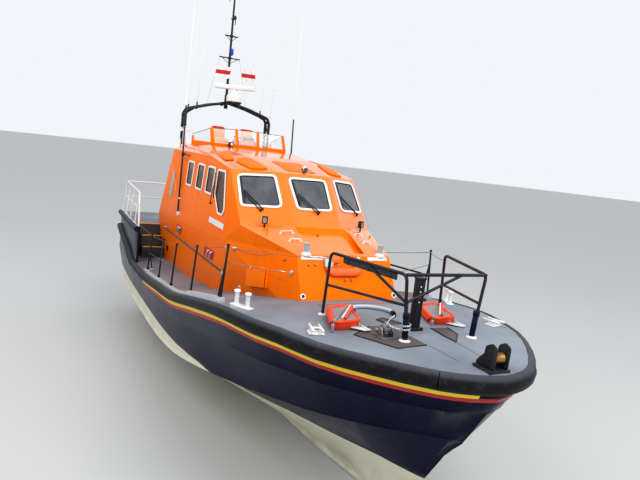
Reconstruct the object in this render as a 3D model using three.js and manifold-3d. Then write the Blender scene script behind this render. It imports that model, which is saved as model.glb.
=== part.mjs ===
// Slipway-launched motor lifeboat, 16.3 m long: hull, house, flybridge, mast arch, rails and running gear.
// Millimetres. +X to the bow, +Y to port, +Z up. Origin amidships, on the centreline, at the waterline.
import * as THREE from "three";
import { ConvexGeometry } from "three/addons/geometries/ConvexGeometry.js";
import { mergeVertices } from "three/addons/utils/BufferGeometryUtils.js";
import Module from "manifold-3d";

const wasm = await Module();
wasm.setup();

// Driving dimensions
const GAP = 0.3;                     // air between pieces that touch
const SIDES = [["starboard", -1], ["port", 1]];
const TRANSOM_X = -8050;
const KEEL_BOTTOM_Z = -1420;         // draught, flat under the aft half of the keel
const AFT_DECK_Z = 1950;
const QUARTER_FRONT_X = -5400;       // front of the raised aft deck
const BULWARK_FRONT_X = -4400;
const BULWARK_TOP_Z = 2000;
const DECK_THICKNESS = 30;
const CAMBER = 100;
const SIDE_FENDER_WIDTH = 120;
const BOW_FENDER_WIDTH = 130;
const WALL = 60;                     // thickness of the house mouldings

// Hull lines, one row per station: each line is [x, half-breadth, z]
const HULL_ROWS = [
  { keel: [-8050, 0, -620], mid: [-8050, 1100, -420], chine: [-8050, 2180, -220], deck: [-8050, 2360, 950] },
  { keel: [-6500, 0, -720], mid: [-6500, 1140, -490], chine: [-6500, 2260, -260], deck: [-6500, 2410, 940] },
  { keel: [-5000, 0, -790], mid: [-5000, 1160, -540], chine: [-5000, 2300, -270], deck: [-5000, 2430, 940] },
  { keel: [-3000, 0, -880], mid: [-3000, 1170, -580], chine: [-3000, 2320, -260], deck: [-3000, 2420, 950] },
  { keel: [-1350, 0, -940], mid: [-1350, 1160, -620], chine: [-1350, 2310, -240], deck: [-1350, 2420, 1120] },
  { keel: [150, 0, -980], mid: [150, 1130, -620], chine: [150, 2230, -160], deck: [150, 2420, 1280] },
  { keel: [1590, 0, -1010], mid: [1590, 1020, -540], chine: [1590, 2020, 20], deck: [1590, 2420, 1570] },
  { keel: [3050, 0, -1010], mid: [3050, 950, -320], chine: [3050, 1770, 270], deck: [3110, 2400, 1880] },
  { keel: [3850, 0, -985], mid: [3850, 880, -120], chine: [3850, 1640, 430], deck: [3900, 2370, 2010] },
  { keel: [4700, 0, -930], mid: [4750, 660, -20], chine: [4750, 1460, 610], deck: [4900, 2260, 2110] },
  { keel: [5200, 0, -830], mid: [5250, 500, 20], chine: [5250, 1360, 710], deck: [5460, 2080, 2150] },
  { keel: [5750, 0, -620], mid: [5850, 320, 100], chine: [5900, 1200, 870], deck: [6200, 1820, 2170] },
  { keel: [6250, 0, -310], mid: [6350, 150, 140], chine: [6500, 850, 970], deck: [6900, 1340, 2190] },
  { keel: [6650, 0, 130], mid: [6750, 80, 420], chine: [6950, 400, 1020], deck: [7510, 760, 2200] },
  { keel: [6980, 0, 660], mid: [7020, 50, 780], chine: [7200, 160, 1040], deck: [7770, 370, 2215] },
  { keel: [7300, 0, 1010], mid: [7310, 0, 1030], chine: [7320, 0, 1050], deck: [7870, 0, 2220] },
];
const STATIONS_PER_ROW = 2;

// Height of the topside strip that backs the fender, by station x
const FENDER_HEIGHT = [[-8050, 190], [1590, 200], [3900, 225], [7870, 250]];

// House corners, port half: [x, y, z]
const TRUNK_FOOT = [[-5450, 1448, 700], [670, 1416, 1000], [4090, 1020, 1700]];
const KNUCKLE = [[-5450, 1650, 2300], [1100, 1630, 2680], [3480, 1000, 2840]];
const SHOULDER = [[1758, 1510, 3090], [2300, 500, 3200]];
const CABIN_FOOT = [[1750, 1440, 2730], [2300, 500, 2765]];   // inside the shoulders, under the windscreen
const ROOF_EDGE = [[-4550, 1520, 4330], [-750, 1520, 4350], [780, 1520, 4160], [1360, 550, 4200]];
const ROOF_CROWN = [[-4450, 1200, 4500], [-2200, 1150, 4580], [-200, 850, 4450]];

// Solids
const point = ([x, y, z]) => new THREE.Vector3(x, y, z);

/** One closed three.js geometry as a manifold solid, with its faces turned out. */
function solid(geometry, matrix = null) {
  const source = geometry.index ? geometry : mergeVertices(geometry);
  const bare = new THREE.BufferGeometry();
  bare.setAttribute("position", source.getAttribute("position").clone());
  bare.setIndex(source.index ? Array.from(source.index.array) : null);
  if (matrix) bare.applyMatrix4(matrix);
  const merged = mergeVertices(bare, 1e-3);
  const p = merged.getAttribute("position").array;
  const triangles = [];
  let volume = 0;
  for (let i = 0; i < merged.index.count; i += 3) {
    const [a, b, c] = [0, 1, 2].map((k) => merged.index.array[i + k]);
    if (a === b || b === c || c === a) continue;
    triangles.push(a, b, c);
    const [A, B, C] = [a, b, c].map((v) => new THREE.Vector3(p[3 * v], p[3 * v + 1], p[3 * v + 2]));
    volume += A.dot(B.cross(C));
  }
  if (volume < 0) triangles.reverse();
  return new wasm.Manifold(new wasm.Mesh({
    numProp: 3,
    vertProperties: Float32Array.from(p),
    triVerts: Uint32Array.from(triangles),
  }));
}

/** The manifold solid as a geometry for a mesh. */
function toGeometry(body) {
  const mesh = body.asOriginal().simplify(0.02).getMesh();
  const geometry = new THREE.BufferGeometry();
  geometry.setAttribute("position", new THREE.BufferAttribute(mesh.vertProperties, 3));
  geometry.setIndex(new THREE.BufferAttribute(mesh.triVerts, 1));
  geometry.computeVertexNormals();
  return geometry;
}

/** Union of several solids. */
const join = (...bodies) => bodies.flat().reduce((sum, body) => sum.add(body));

/** Convex solid through corner points. */
const convex = (corners) => solid(new ConvexGeometry(corners.map(point)));

/** Corners and their mirror images across the centreline. */
const mirrored = (corners) => corners.concat(corners.map(([x, y, z]) => [x, -y, z]));

/** Box between two opposite corners. */
function box([x0, y0, z0], [x1, y1, z1]) {
  const geometry = new THREE.BoxGeometry(Math.abs(x1 - x0), Math.abs(y1 - y0), Math.abs(z1 - z0));
  return solid(geometry.translate((x0 + x1) / 2, (y0 + y1) / 2, (z0 + z1) / 2));
}

/** Straight round bar from a to b, with an optional other radius at b. */
function rod(a, b, radius, sides = 6, endRadius = radius) {
  const [from, to] = [point(a), point(b)];
  const along = to.clone().sub(from);
  const geometry = new THREE.CylinderGeometry(endRadius, radius, along.length(), sides);
  const turn = new THREE.Quaternion();
  turn.setFromUnitVectors(new THREE.Vector3(0, 1, 0), along.clone().normalize());
  const middle = from.add(to).multiplyScalar(0.5);
  return solid(geometry, new THREE.Matrix4().compose(middle, turn, new THREE.Vector3(1, 1, 1)));
}

/** Tube through a list of points, with a ball at each bend. */
function pipe(points, radius, sides = 6) {
  const parts = [];
  points.slice(1).forEach((end, i) => parts.push(rod(points[i], end, radius, sides)));
  points.slice(1, -1).forEach((bend) => {
    const ball = new THREE.SphereGeometry(radius, sides, 3);
    parts.push(solid(ball.translate(...bend)));
  });
  return join(parts);
}

/** Outline in the XZ plane, extruded across from y0 to y1. */
function slabXZ(outline, y0, y1) {
  const shape = new THREE.Shape(outline.map(([x, z]) => new THREE.Vector2(x, z)));
  const geometry = new THREE.ExtrudeGeometry(shape, { depth: Math.abs(y1 - y0), bevelEnabled: false });
  return solid(geometry.rotateX(Math.PI / 2).translate(0, Math.max(y0, y1), 0));
}

/** Outline in the XY plane, extruded up from z0 to z1. */
function slabXY(outline, z0, z1) {
  const shape = new THREE.Shape(outline.map(([x, y]) => new THREE.Vector2(x, y)));
  const geometry = new THREE.ExtrudeGeometry(shape, { depth: z1 - z0, bevelEnabled: false });
  return solid(geometry.translate(0, 0, z0));
}

/** Solid through a list of rings with equal numbers of points, with flat ends. */
function loft(rings) {
  const size = rings[0].length;
  const positions = rings.flat(2);
  const index = [];
  for (let r = 0; r + 1 < rings.length; r += 1) {
    for (let i = 0; i < size; i += 1) {
      const next = (i + 1) % size;
      const [a, b] = [r * size + i, r * size + next];
      const [c, d] = [a + size, b + size];
      index.push(a, b, c, b, d, c);
    }
  }
  const last = (rings.length - 1) * size;
  for (let i = 1; i + 1 < size; i += 1) {
    index.push(0, i + 1, i, last, last + i, last + i + 1);
  }
  const geometry = new THREE.BufferGeometry();
  geometry.setAttribute("position", new THREE.Float32BufferAttribute(positions, 3));
  geometry.setIndex(index);
  return solid(geometry);
}

/** Body of revolution about a vertical axis through a point: profile of [radius, height]. */
function turned(profile, [x, y, z], segments = 12) {
  const geometry = new THREE.LatheGeometry(profile.map(([r, h]) => new THREE.Vector2(r, h)), segments);
  return solid(geometry.rotateX(Math.PI / 2).translate(x, y, z));
}

/** Radius of a twelve-sided bore that clears a round pin by a little more than the standing gap. */
const boreRadius = (pin) => (pin + 0.4) / Math.cos(Math.PI / 12);

/** Linear reading of a table of [x, value] pairs. */
function read(table, x) {
  if (x <= table[0][0]) return table[0][1];
  for (let i = 1; i < table.length; i += 1) {
    const [x0, v0] = table[i - 1];
    const [x1, v1] = table[i];
    if (x <= x1) return v0 + (v1 - v0) * (x - x0) / (x1 - x0);
  }
  return table[table.length - 1][1];
}

// Hull and deck surfaces
const lineOf = (name) => {
  const curve = new THREE.CatmullRomCurve3(HULL_ROWS.map((row) => point(row[name])), false, "centripetal");
  const count = (HULL_ROWS.length - 1) * STATIONS_PER_ROW;
  return Array.from({ length: count + 1 }, (_, i) => curve.getPoint(i / count).toArray());
};
const LINES = Object.fromEntries(["keel", "mid", "chine", "deck"].map((name) => [name, lineOf(name)]));
const STATIONS = LINES.deck.map((_, i) => i);
const between = (a, b, t) => a.map((value, i) => value + (b[i] - value) * t);

/** Deck height at the edge and half-breadth of the deck at a position along the boat. */
const deckEdgeZ = (x) => read(LINES.deck.map(([px, , pz]) => [px, pz]), x);
const deckHalf = (x) => read(LINES.deck.map(([px, py]) => [px, py]), x);

/** Half section of the hull at a station, from keel to deck edge, with its two spray rails. */
function halfSection(station) {
  const [keel, mid, chine, deck] = ["keel", "mid", "chine", "deck"].map((name) => LINES[name][station]);
  const belt = [deck[0], deck[1] * 1.005, deck[2] - read(FENDER_HEIGHT, deck[0])];
  const knuckle = between(chine, belt, 0.6);
  const breadth = Math.min(1, deck[1] / 600);
  const lip = 45 * breadth;
  const spray = 70 * breadth * THREE.MathUtils.smoothstep(deck[0], 2700, 3600);
  const out = ([x, y, z], dy, dz) => [x, y + dy, z + dz];
  return [
    keel, mid, chine, out(chine, lip, 5), out(between(chine, belt, 0.07), 0, 0),
    knuckle, out(knuckle, spray, 10), out(between(chine, belt, 0.68), spray * 0.1, 0),
    belt, out(deck, 0, -DECK_THICKNESS),
  ];
}

/** Closed ring across the deck at a station: bottom row of points, then the top row back. */
function deckRing(station, bottomDrop, topRise) {
  const [x, half, z] = LINES.deck[station];
  const across = [-1, -0.5, 0, 0.5, 1];
  const crown = (t) => z + CAMBER * Math.min(1, half / 2400) * (1 - t * t);
  const bottom = across.map((t) => [x, half * t, crown(t) - bottomDrop]);
  const top = across.map((t) => [x, half * t, crown(t) + topRise]).reverse();
  return bottom.concat(top);
}

function makeHull() {
  const rings = STATIONS.map((station) => {
    const port = halfSection(station);
    const starboard = port.slice(1).map(([x, y, z]) => [x, -y, z]).reverse();
    const crown = deckRing(station, DECK_THICKNESS, 0).slice(1, 4).reverse();
    return port.concat(crown, starboard);
  });
  return loft(rings);
}

// Cutter that takes away everything below the top of the deck, with the standing gap
const belowDeck = loft(STATIONS.map((s) => deckRing(s, 4000, GAP)));
const onDeck = (body) => body.subtract(belowDeck);

// Keel, tunnels and running gear
const KEEL_HALF = 80;
const KEEL_BAND = 25;
const KEEL_LINE = [[5600, -680], [5100, -870], [3300, -1110], [900, -1280], [-1500, KEEL_BOTTOM_Z],
  [-6600, KEEL_BOTTOM_Z]];
const SHAFT_Y = 950;
const SHAFT_Z = -850;
const TUNNEL_RADIUS = 450;
const TUNNEL_FRONT_X = -4800;
const PROP_X = -6450;
const PROP_RADIUS = 380;
const RUDDER_X = -7250;
const RUDDER_TOP_Z = -480;
const RUDDER_BOTTOM_Z = -1230;
const STOCK_RADIUS = 38;
const STOCK_TOP_Z = -150;
const SHAFT_RADIUS = 38;

function makeKeel() {
  const lifted = KEEL_LINE.map(([x, z]) => [x, z + KEEL_BAND + GAP]);
  const top = [[-6900, -500], [5500, -500]];
  return slabXZ(top.concat(lifted), -KEEL_HALF, KEEL_HALF);
}

function makeKeelBand() {
  const upper = KEEL_LINE.map(([x, z]) => [x, z + KEEL_BAND]);
  const band = slabXZ(KEEL_LINE.concat(upper.reverse()), -KEEL_HALF - 10, KEEL_HALF + 10);
  return band.subtract(bareHull.translate([0, 0, -GAP]));
}

const bareHull = makeHull();
let hull = bareHull.add(makeKeel());
for (const [, side] of SIDES) {
  const y = side * SHAFT_Y;
  const tunnel = rod([TRANSOM_X - 100, y, SHAFT_Z], [TUNNEL_FRONT_X, y, SHAFT_Z], TUNNEL_RADIUS, 16);
  const mouth = rod([TUNNEL_FRONT_X - 1, y, SHAFT_Z], [TUNNEL_FRONT_X + 900, y, SHAFT_Z - 260],
    TUNNEL_RADIUS, 16, 120);
  const bore = rod([TUNNEL_FRONT_X - 200, y, SHAFT_Z], [TUNNEL_FRONT_X + 1300, y, SHAFT_Z],
    boreRadius(SHAFT_RADIUS), 12);
  const stockBore = rod([RUDDER_X, y, -900], [RUDDER_X, y, STOCK_TOP_Z + 10], boreRadius(STOCK_RADIUS), 12);
  hull = hull.subtract(join(tunnel, mouth)).subtract(bore).subtract(stockBore);
}

/** Five-bladed propeller with its hub, cone and shaft. */
function makePropeller(side) {
  const y = side * SHAFT_Y;
  const shaft = rod([PROP_X, y, SHAFT_Z], [TUNNEL_FRONT_X + 1290, y, SHAFT_Z], SHAFT_RADIUS, 10);
  const hub = rod([PROP_X - 110, y, SHAFT_Z], [PROP_X + 130, y, SHAFT_Z], 75, 10, 90);
  const cone = rod([PROP_X - 230, y, SHAFT_Z], [PROP_X - 109, y, SHAFT_Z], 20, 10, 75);
  const pitch = THREE.MathUtils.degToRad(52);
  const blades = Array.from({ length: 5 }, (_, i) => {
    const outline = new THREE.Shape([
      [-70, 40], [-120, 200], [-95, 320], [0, PROP_RADIUS], [105, 320], [125, 200], [70, 40],
    ].map(([a, b]) => new THREE.Vector2(a, b)));
    const blade = new THREE.ExtrudeGeometry(outline, { depth: 16, bevelEnabled: false });
    blade.translate(0, 0, -8).rotateY(side * pitch).rotateX((i * 2 * Math.PI) / 5 + Math.PI / 2);
    return solid(blade.translate(PROP_X, y, SHAFT_Z));
  });
  return join(shaft, hub, cone, blades);
}

/** P-bracket: a streamlined arm and the bearing that the shaft turns in. */
function makeShaftBracket(side) {
  const y = side * SHAFT_Y;
  const [x0, x1] = [PROP_X + 190, PROP_X + 400];
  const bearing = rod([x0, y, SHAFT_Z], [x1, y, SHAFT_Z], 66, 12);
  const arm = box([x0 + 30, y - 18, SHAFT_Z], [x1 - 30, y + 18, 0]);
  const bore = rod([x0 - 10, y, SHAFT_Z], [x1 + 10, y, SHAFT_Z], boreRadius(SHAFT_RADIUS), 12);
  const hullCutter = hull.translate([0, 0, -GAP]);
  return join(bearing, arm).subtract(hullCutter).subtract(bore);
}

/** Balanced rudder blade with its stock. */
function makeRudder(side) {
  const y = side * SHAFT_Y;
  const blade = loft([[RUDDER_BOTTOM_Z, 0.82], [RUDDER_TOP_Z, 1]].map(([z, scale]) => [
    [190, 0], [120, 32], [-30, 36], [-380, 6], [-380, -6], [-30, -36], [120, -32],
  ].map(([dx, dy]) => [RUDDER_X + dx * scale, y + dy * scale, z])));
  const stock = rod([RUDDER_X, y, RUDDER_BOTTOM_Z + 60], [RUDDER_X, y, STOCK_TOP_Z], STOCK_RADIUS, 10);
  return blade.add(stock);
}

/** Bilge keel outboard of the propeller tunnel. */
function makeBilgeKeel(side) {
  const fin = convex([
    [-3300, 1700, -250], [-7300, 1700, -250], [-3900, 1780, -900], [-7100, 1780, -900],
    [-3300, 1760, -250], [-7300, 1760, -250], [-3900, 1820, -900], [-7100, 1820, -900],
  ].map(([x, y, z]) => [x, side * y, z]));
  return fin.subtract(hull.translate([0, 0, -GAP]));
}

// Fenders
/** Offset of a plan point away from the boat along the edge's own normal. */
function edgeFrame(i, line) {
  const [before, after] = [line[Math.max(0, i - 1)], line[Math.min(line.length - 1, i + 1)]];
  const run = new THREE.Vector2(after[0] - before[0], after[1] - before[1]).normalize();
  return [run.y, -run.x];
}

/** D-shaped rubber along an edge line: the top lies at the line's height. */
function fenderAlong(line, heights, width) {
  return loft(line.map((place, i) => {
    const [nx, ny] = edgeFrame(i, line);
    const drop = heights[i];
    const profile = [[GAP, 0], [0.55, 0.02], [0.9, 0.22], [1, 0.5], [0.9, 0.78], [0.55, 0.98], [GAP, 1]];
    return profile.map(([out, down], k) => {
      const reach = k === 0 || k === profile.length - 1 ? GAP * 2 : out * width[i];
      return [place[0] + nx * reach, place[1] + ny * reach, place[2] - down * drop];
    });
  }));
}

const BOW_SEAM_STATION = 26;
const BELT_KINK_X = -5030;
const beltZ = (x) => (x < BELT_KINK_X ? 1080 + (BELT_KINK_X - x) * 0.151 : deckEdgeZ(x) + 10);

function beltLine(from, to, side) {
  const line = [];
  for (let s = from; s <= to; s += 1) {
    const [x, y] = LINES.deck[s];
    line.push([x, y, beltZ(x)]);
  }
  return side > 0 ? line.map(([x, y, z]) => [x, y, z]).reverse() : line.map(([x, y, z]) => [x, -y, z]);
}

function makeSideFender(side) {
  const line = beltLine(0, BOW_SEAM_STATION, side);
  const heights = line.map(([x]) => read(FENDER_HEIGHT, x));
  const fender = fenderAlong(line, heights, line.map(() => SIDE_FENDER_WIDTH));
  return fender.subtract(bareHull.scale([1, 1.0003, 1]));
}

function makeBowFender() {
  const last = LINES.deck.length - 1;
  const starboard = beltLine(BOW_SEAM_STATION, last, -1);
  const port = beltLine(BOW_SEAM_STATION, last, 1).slice(1);
  const line = starboard.concat(port);
  const heights = line.map(([x]) => read(FENDER_HEIGHT, x));
  const fender = fenderAlong(line, heights, line.map(() => BOW_FENDER_WIDTH));
  const seam = LINES.deck[BOW_SEAM_STATION][0];
  const behindSeam = box([seam - 900, -3000, 0], [seam + 4, 3000, 4000]);
  return fender.subtract(bareHull.scale([1.0003, 1.0003, 1])).subtract(behindSeam);
}

// Hinge knuckles: at each start along an axis, a fixed barrel and then a moving one
const BARREL = { radius: 16, fixed: 40, moving: 80, air: 5 };
const barrel = (axis, from, to, radius) => rod(axis(from), axis(to), radius, 10);

function hingeFixed(body, axis, starts) {
  const { radius, fixed, moving, air } = BARREL;
  return starts.reduce((sum, h) => sum
    .subtract(barrel(axis, h + fixed - GAP / 2, h + fixed + moving + 2, radius + air))
    .add(barrel(axis, h, h + fixed - GAP, radius)), body);
}
function hingeMoving(body, axis, starts) {
  const { radius, fixed, moving, air } = BARREL;
  return starts.reduce((sum, h) => sum
    .subtract(barrel(axis, h - air, h + fixed - GAP / 2, radius + air))
    .add(barrel(axis, h + fixed, h + fixed + moving, radius)), body);
}

// Aft quarter: the raised deck over the tender garage, its bulwarks, door and steps
const BULWARK = 60;
const GARAGE = { x: -6200, half: 950, floor: 1130, roof: 1820 };
const DOOR_GAP = 6;
const TRANSOM_DOOR = 50;
const STEPS = [[-5400, 1620], [-5200, 1300]];         // rear edge x and height of the side steps
const STEP_Y = [1500, 2170];

const aftStations = STATIONS.filter((s) => LINES.deck[s][0] < BULWARK_FRONT_X);
const edgeAt = (x) => [x, deckHalf(x)];
const aftEdge = aftStations.map((s) => edgeAt(LINES.deck[s][0])).concat([edgeAt(BULWARK_FRONT_X)]);

function makeQuarter() {
  const edge = aftEdge.filter(([x]) => x < QUARTER_FRONT_X).concat([edgeAt(QUARTER_FRONT_X)]);
  const inner = edge.map(([x, y]) => [x, y - BULWARK - GAP]);
  const outline = inner.concat(inner.map(([x, y]) => [x, -y]).reverse());
  const { x, half, floor, roof } = GARAGE;
  const block = slabXY(outline, 500, AFT_DECK_Z);
  const treads = SIDES.flatMap(([, side]) => STEPS.map(([tx, tz]) => (
    box([QUARTER_FRONT_X - 20, side * STEP_Y[0], 500], [tx + 215, side * STEP_Y[1], tz]))));
  const house = houseOuter.translate([-GAP, 0, 0]).add(houseOuter.scale([1, 1.0003, 1]));
  const quarter = onDeck(join(block, treads)).subtract(box([TRANSOM_X - 10, -half, floor], [x, half, roof]));
  return hingeFixed(quarter.subtract(house), transomAxis, TRANSOM_HINGES);
}

function makeBulwark(side) {
  const outer = aftEdge.map(([x, y]) => [x, side * y]);
  const inner = aftEdge.map(([x, y]) => [x, side * (y - BULWARK)]).reverse();
  return onDeck(slabXY(outer.concat(inner), 500, BULWARK_TOP_Z));
}

function makeQuarterFender(side) {
  const line = aftEdge.map(([x, y]) => [x, side * y, BULWARK_TOP_Z]);
  if (side > 0) line.reverse();
  return fenderAlong(line, line.map(() => 150), line.map(() => 110)).subtract(bulwarkCutter(side));
}

/** Bulwark grown outward by the gap, to trim what rests against it. */
function bulwarkCutter(side) {
  const outer = aftEdge.map(([x, y]) => [x, side * (y + GAP)]);
  const inner = aftEdge.map(([x, y]) => [x, side * (y - BULWARK)]).reverse();
  return slabXY(outer.concat(inner), 500, BULWARK_TOP_Z + 20);
}

const transomAxis = (y) => [TRANSOM_X, y, GARAGE.floor + DOOR_GAP];
const TRANSOM_HINGES = [-760, -60, 640];

function makeTransomDoor() {
  const { half, floor, roof } = GARAGE;
  const leaf = box([TRANSOM_X, -half + DOOR_GAP, floor + DOOR_GAP],
    [TRANSOM_X + TRANSOM_DOOR, half - DOOR_GAP, roof - DOOR_GAP]);
  return hingeMoving(leaf, transomAxis, TRANSOM_HINGES);
}

// Deckhouse
const splitZ = (x) => 2300 + (x + 5450) * 0.0605;
const SPLIT_ENDS = [-6000, 4500];
const ROOF_SPLIT = [[-6000, 4265], [-750, 4285], [2400, 4100]];
const SOLE_Z = 2230;

/** Corners of the house moved inward by dx and dy, and up by dz. */
const shift = (corners, dx, dy, dz) => corners.map(([x, y, z]) => (
  [x - Math.sign(x + 1000) * dx, y - dy, z + dz]));
const trunkOuter = convex(mirrored([...TRUNK_FOOT, ...KNUCKLE]));
const shouldersOuter = convex(mirrored([...KNUCKLE, ...SHOULDER]));
const cabinOuter = convex(mirrored([
  ...KNUCKLE.slice(0, 2), ...CABIN_FOOT, ...SHOULDER, ...ROOF_EDGE, ...ROOF_CROWN,
]));
const trunkRoom = (wall) => convex(mirrored([
  ...shift(TRUNK_FOOT, wall, wall, -200), ...shift(KNUCKLE.slice(0, 2), wall * 1.1, wall, 50),
  ...shift(KNUCKLE.slice(2), wall * 1.1, wall, -40),
]));
const shouldersRoom = convex(mirrored([
  ...shift(KNUCKLE, WALL * 1.1, WALL, -50), ...shift(SHOULDER, WALL, WALL, -WALL),
]));
const cabinRoom = convex(mirrored([
  ...shift(KNUCKLE.slice(0, 2), WALL * 1.1, WALL, -50), ...shift(CABIN_FOOT, WALL, WALL, -50),
  ...shift(SHOULDER, WALL * 1.2, WALL, -WALL), ...shift(ROOF_EDGE, WALL * 1.2, WALL, -20),
  ...shift(ROOF_CROWN, WALL * 1.2, WALL, -WALL),
]));
const houseOuter = join(trunkOuter, shouldersOuter, cabinOuter);
const houseRoom = join(trunkRoom(WALL), shouldersRoom, cabinRoom);

function splitBlock(line, gap, topZ) {
  const lower = line.map(([x, z]) => [x, z + gap]);
  return slabXZ([...lower, [line[line.length - 1][0], topZ], [line[0][0], topZ]], -3000, 3000);
}
const kneeLine = SPLIT_ENDS.map((x) => [x, splitZ(x)]);
const aboveKnuckle = splitBlock(kneeLine, 0, 9000);
const aboveKnuckleGap = splitBlock(kneeLine, GAP, 9000);
const aboveRoofLine = splitBlock(ROOF_SPLIT, 0, 9000);
const aboveRoofLineGap = splitBlock(ROOF_SPLIT, GAP, 9000);

function makeTrunk() {
  return onDeck(houseOuter.subtract(aboveKnuckle).subtract(houseRoom));
}

function makeSole() {
  return box([-6000, -2000, SOLE_Z - 40], [3200, 2000, SOLE_Z]).intersect(trunkRoom(WALL + GAP));
}

// Shoulder recess ahead of the centre windscreen, and the moulding under it
const RECESS = [
  [2320, 560, 3210], [3040, 480, 2985], [3600, 800, 2700], [2400, 500, 3060], [3500, 480, 2830],
];
const RECESS_TRAY = [
  [2220, 660, 3300], [3600, 760, 3000], [3600, 760, 2700], [2220, 600, 2940], [3300, 600, 2700],
];

// Side windows: outline as [x, z] corners, and the corner radius
const SIDE_WINDOWS = [
  [[-2660, 3460], [-2060, 3460], [-2020, 4120], [-2620, 4120]],
  [[-1690, 3460], [-1060, 3460], [-1020, 4120], [-1650, 4120]],
  [[-800, 3460], [-190, 3460], [-150, 4120], [-760, 4120]],
  [[20, 3500], [450, 3120], [750, 3120], [880, 3250], [600, 4100], [20, 4100]],
];

/** Plane of the windscreen facet through three points, as a matrix: local Z is the outward normal. */
function facet(a, b, c) {
  const [A, B, C] = [a, b, c].map(point);
  const u = B.clone().sub(A).normalize();
  const n = u.clone().cross(C.clone().sub(A)).normalize();
  const v = n.clone().cross(u);
  return new THREE.Matrix4().makeBasis(u, v, n).setPosition(A);
}

/** Rounded outline through corners of a polygon, moved inward by a margin. */
function roundedOutline(corners, margin, radius) {
  const area = corners.reduce((sum, [x, y], i) => {
    const [nx, ny] = corners[(i + 1) % corners.length];
    return sum + x * ny - nx * y;
  }, 0);
  const turn = Math.sign(area);
  const lines = corners.map((corner, i) => {
    const next = corners[(i + 1) % corners.length];
    const run = new THREE.Vector2(next[0] - corner[0], next[1] - corner[1]).normalize();
    const inward = new THREE.Vector2(-run.y, run.x).multiplyScalar(turn * margin);
    return { start: new THREE.Vector2(...corner).add(inward), run };
  });
  const points = [];
  lines.forEach((line, i) => {
    const before = lines[(i + lines.length - 1) % lines.length];
    const cross = before.run.cross(line.run);
    const t = line.start.clone().sub(before.start).cross(line.run) / cross;
    const corner = before.start.clone().addScaledVector(before.run, t);
    const angle = Math.acos(THREE.MathUtils.clamp(before.run.dot(line.run), -1, 1));
    const cut = radius * Math.tan(angle / 2);
    const from = corner.clone().addScaledVector(before.run, -cut);
    const to = corner.clone().addScaledVector(line.run, cut);
    for (let k = 0; k <= 3; k += 1) {
      const s = k / 3;
      const [p, q] = [from.clone().lerp(corner, s), corner.clone().lerp(to, s)];
      points.push(p.lerp(q, s));
    }
  });
  return new THREE.Shape(points);
}

/** Plate in a facet between two heights above it. */
function facetPlate(frame, corners, margin, low, high, radius) {
  const inverse = frame.clone().invert();
  const flat = corners.map((c) => point(c).applyMatrix4(inverse)).map((p) => [p.x, p.y]);
  const shape = roundedOutline(flat, margin, radius);
  const geometry = new THREE.ExtrudeGeometry(shape, { depth: high - low, bevelEnabled: false });
  return solid(geometry.translate(0, 0, low), frame);
}

const SCREEN_TOP = ROOF_EDGE[3];
const SCREEN_FOOT = SHOULDER[1];
const sideways = ([x, y, z], side) => [x, side * y, z];
const SIDE_SCREEN = [[1930, 680, 3500], [1480, 1460, 3440], [910, 1410, 4070], [1310, 660, 4120]];
const WINDSCREENS = {
  centre: {
    frame: facet(sideways(SCREEN_FOOT, -1), SCREEN_FOOT, SCREEN_TOP),
    corners: [[2010, -420, 3480], [2010, 420, 3480], [1400, 460, 4090], [1400, -460, 4090]],
  },
};
for (const [name, side] of SIDES) {
  const [foot, outer, top] = [SCREEN_FOOT, ROOF_EDGE[2], SCREEN_TOP].map((p) => sideways(p, side));
  WINDSCREENS[name] = {
    frame: side > 0 ? facet(foot, outer, top) : facet(outer, foot, top),
    corners: SIDE_SCREEN.map((p) => sideways(p, side)),
  };
}
const FRAME_WIDTH = 55;
const OPENING_MARGIN = 40;

// Aft door in the sloping face of the wheelhouse
const slopeFoot = KNUCKLE[0];
const slopeHead = ROOF_EDGE[0];
const slope = new THREE.Vector3(slopeHead[0] - slopeFoot[0], 0, slopeHead[2] - slopeFoot[2]).normalize();
const slopeOut = new THREE.Vector3(-slope.z, 0, slope.x);
const doorFrame = new THREE.Matrix4()
  .makeBasis(new THREE.Vector3(0, -1, 0), slope, slopeOut)
  .setPosition(slopeFoot[0], 0, slopeFoot[2]);
const DOOR = { half: 320, foot: 130, head: 1830, thick: 45 };
const DOOR_HINGES = [350, 1500];
const doorAxis = (h) => new THREE.Vector3(-DOOR.half, h, 0).applyMatrix4(doorFrame).toArray();

/** Box between two opposite corners of the door's own frame: across, up the slope, outward. */
function inDoorFrame([x0, y0, z0], [x1, y1, z1]) {
  const geometry = new THREE.BoxGeometry(Math.abs(x1 - x0), Math.abs(y1 - y0), Math.abs(z1 - z0));
  return solid(geometry.translate((x0 + x1) / 2, (y0 + y1) / 2, (z0 + z1) / 2), doorFrame);
}

function makeWheelhouse() {
  const tray = convex(mirrored(RECESS_TRAY)).intersect(houseOuter);
  let shell = houseOuter.subtract(houseRoom).add(tray);
  shell = shell.intersect(aboveKnuckleGap).subtract(aboveRoofLine).subtract(convex(mirrored(RECESS)));
  for (const { frame, corners } of Object.values(WINDSCREENS)) {
    shell = shell.subtract(facetPlate(frame, corners, OPENING_MARGIN, -260, 60, 60));
  }
  for (const outline of SIDE_WINDOWS) {
    const shape = roundedOutline(outline, 30, 90);
    const hole = new THREE.ExtrudeGeometry(shape, { depth: 4000, bevelEnabled: false });
    shell = shell.subtract(solid(hole.rotateX(Math.PI / 2).translate(0, 2000, 0)));
  }
  const { half, foot, head } = DOOR;
  shell = shell.subtract(inDoorFrame([-half - DOOR_GAP, foot, -200], [half + DOOR_GAP, head, 40]));
  for (const h of DOOR_HINGES) {
    shell = shell.add(inDoorFrame([-half - 25, h + 5, -35], [-half - 3, h + 33, 3]));
  }
  return hingeFixed(shell, doorAxis, DOOR_HINGES);
}

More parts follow.
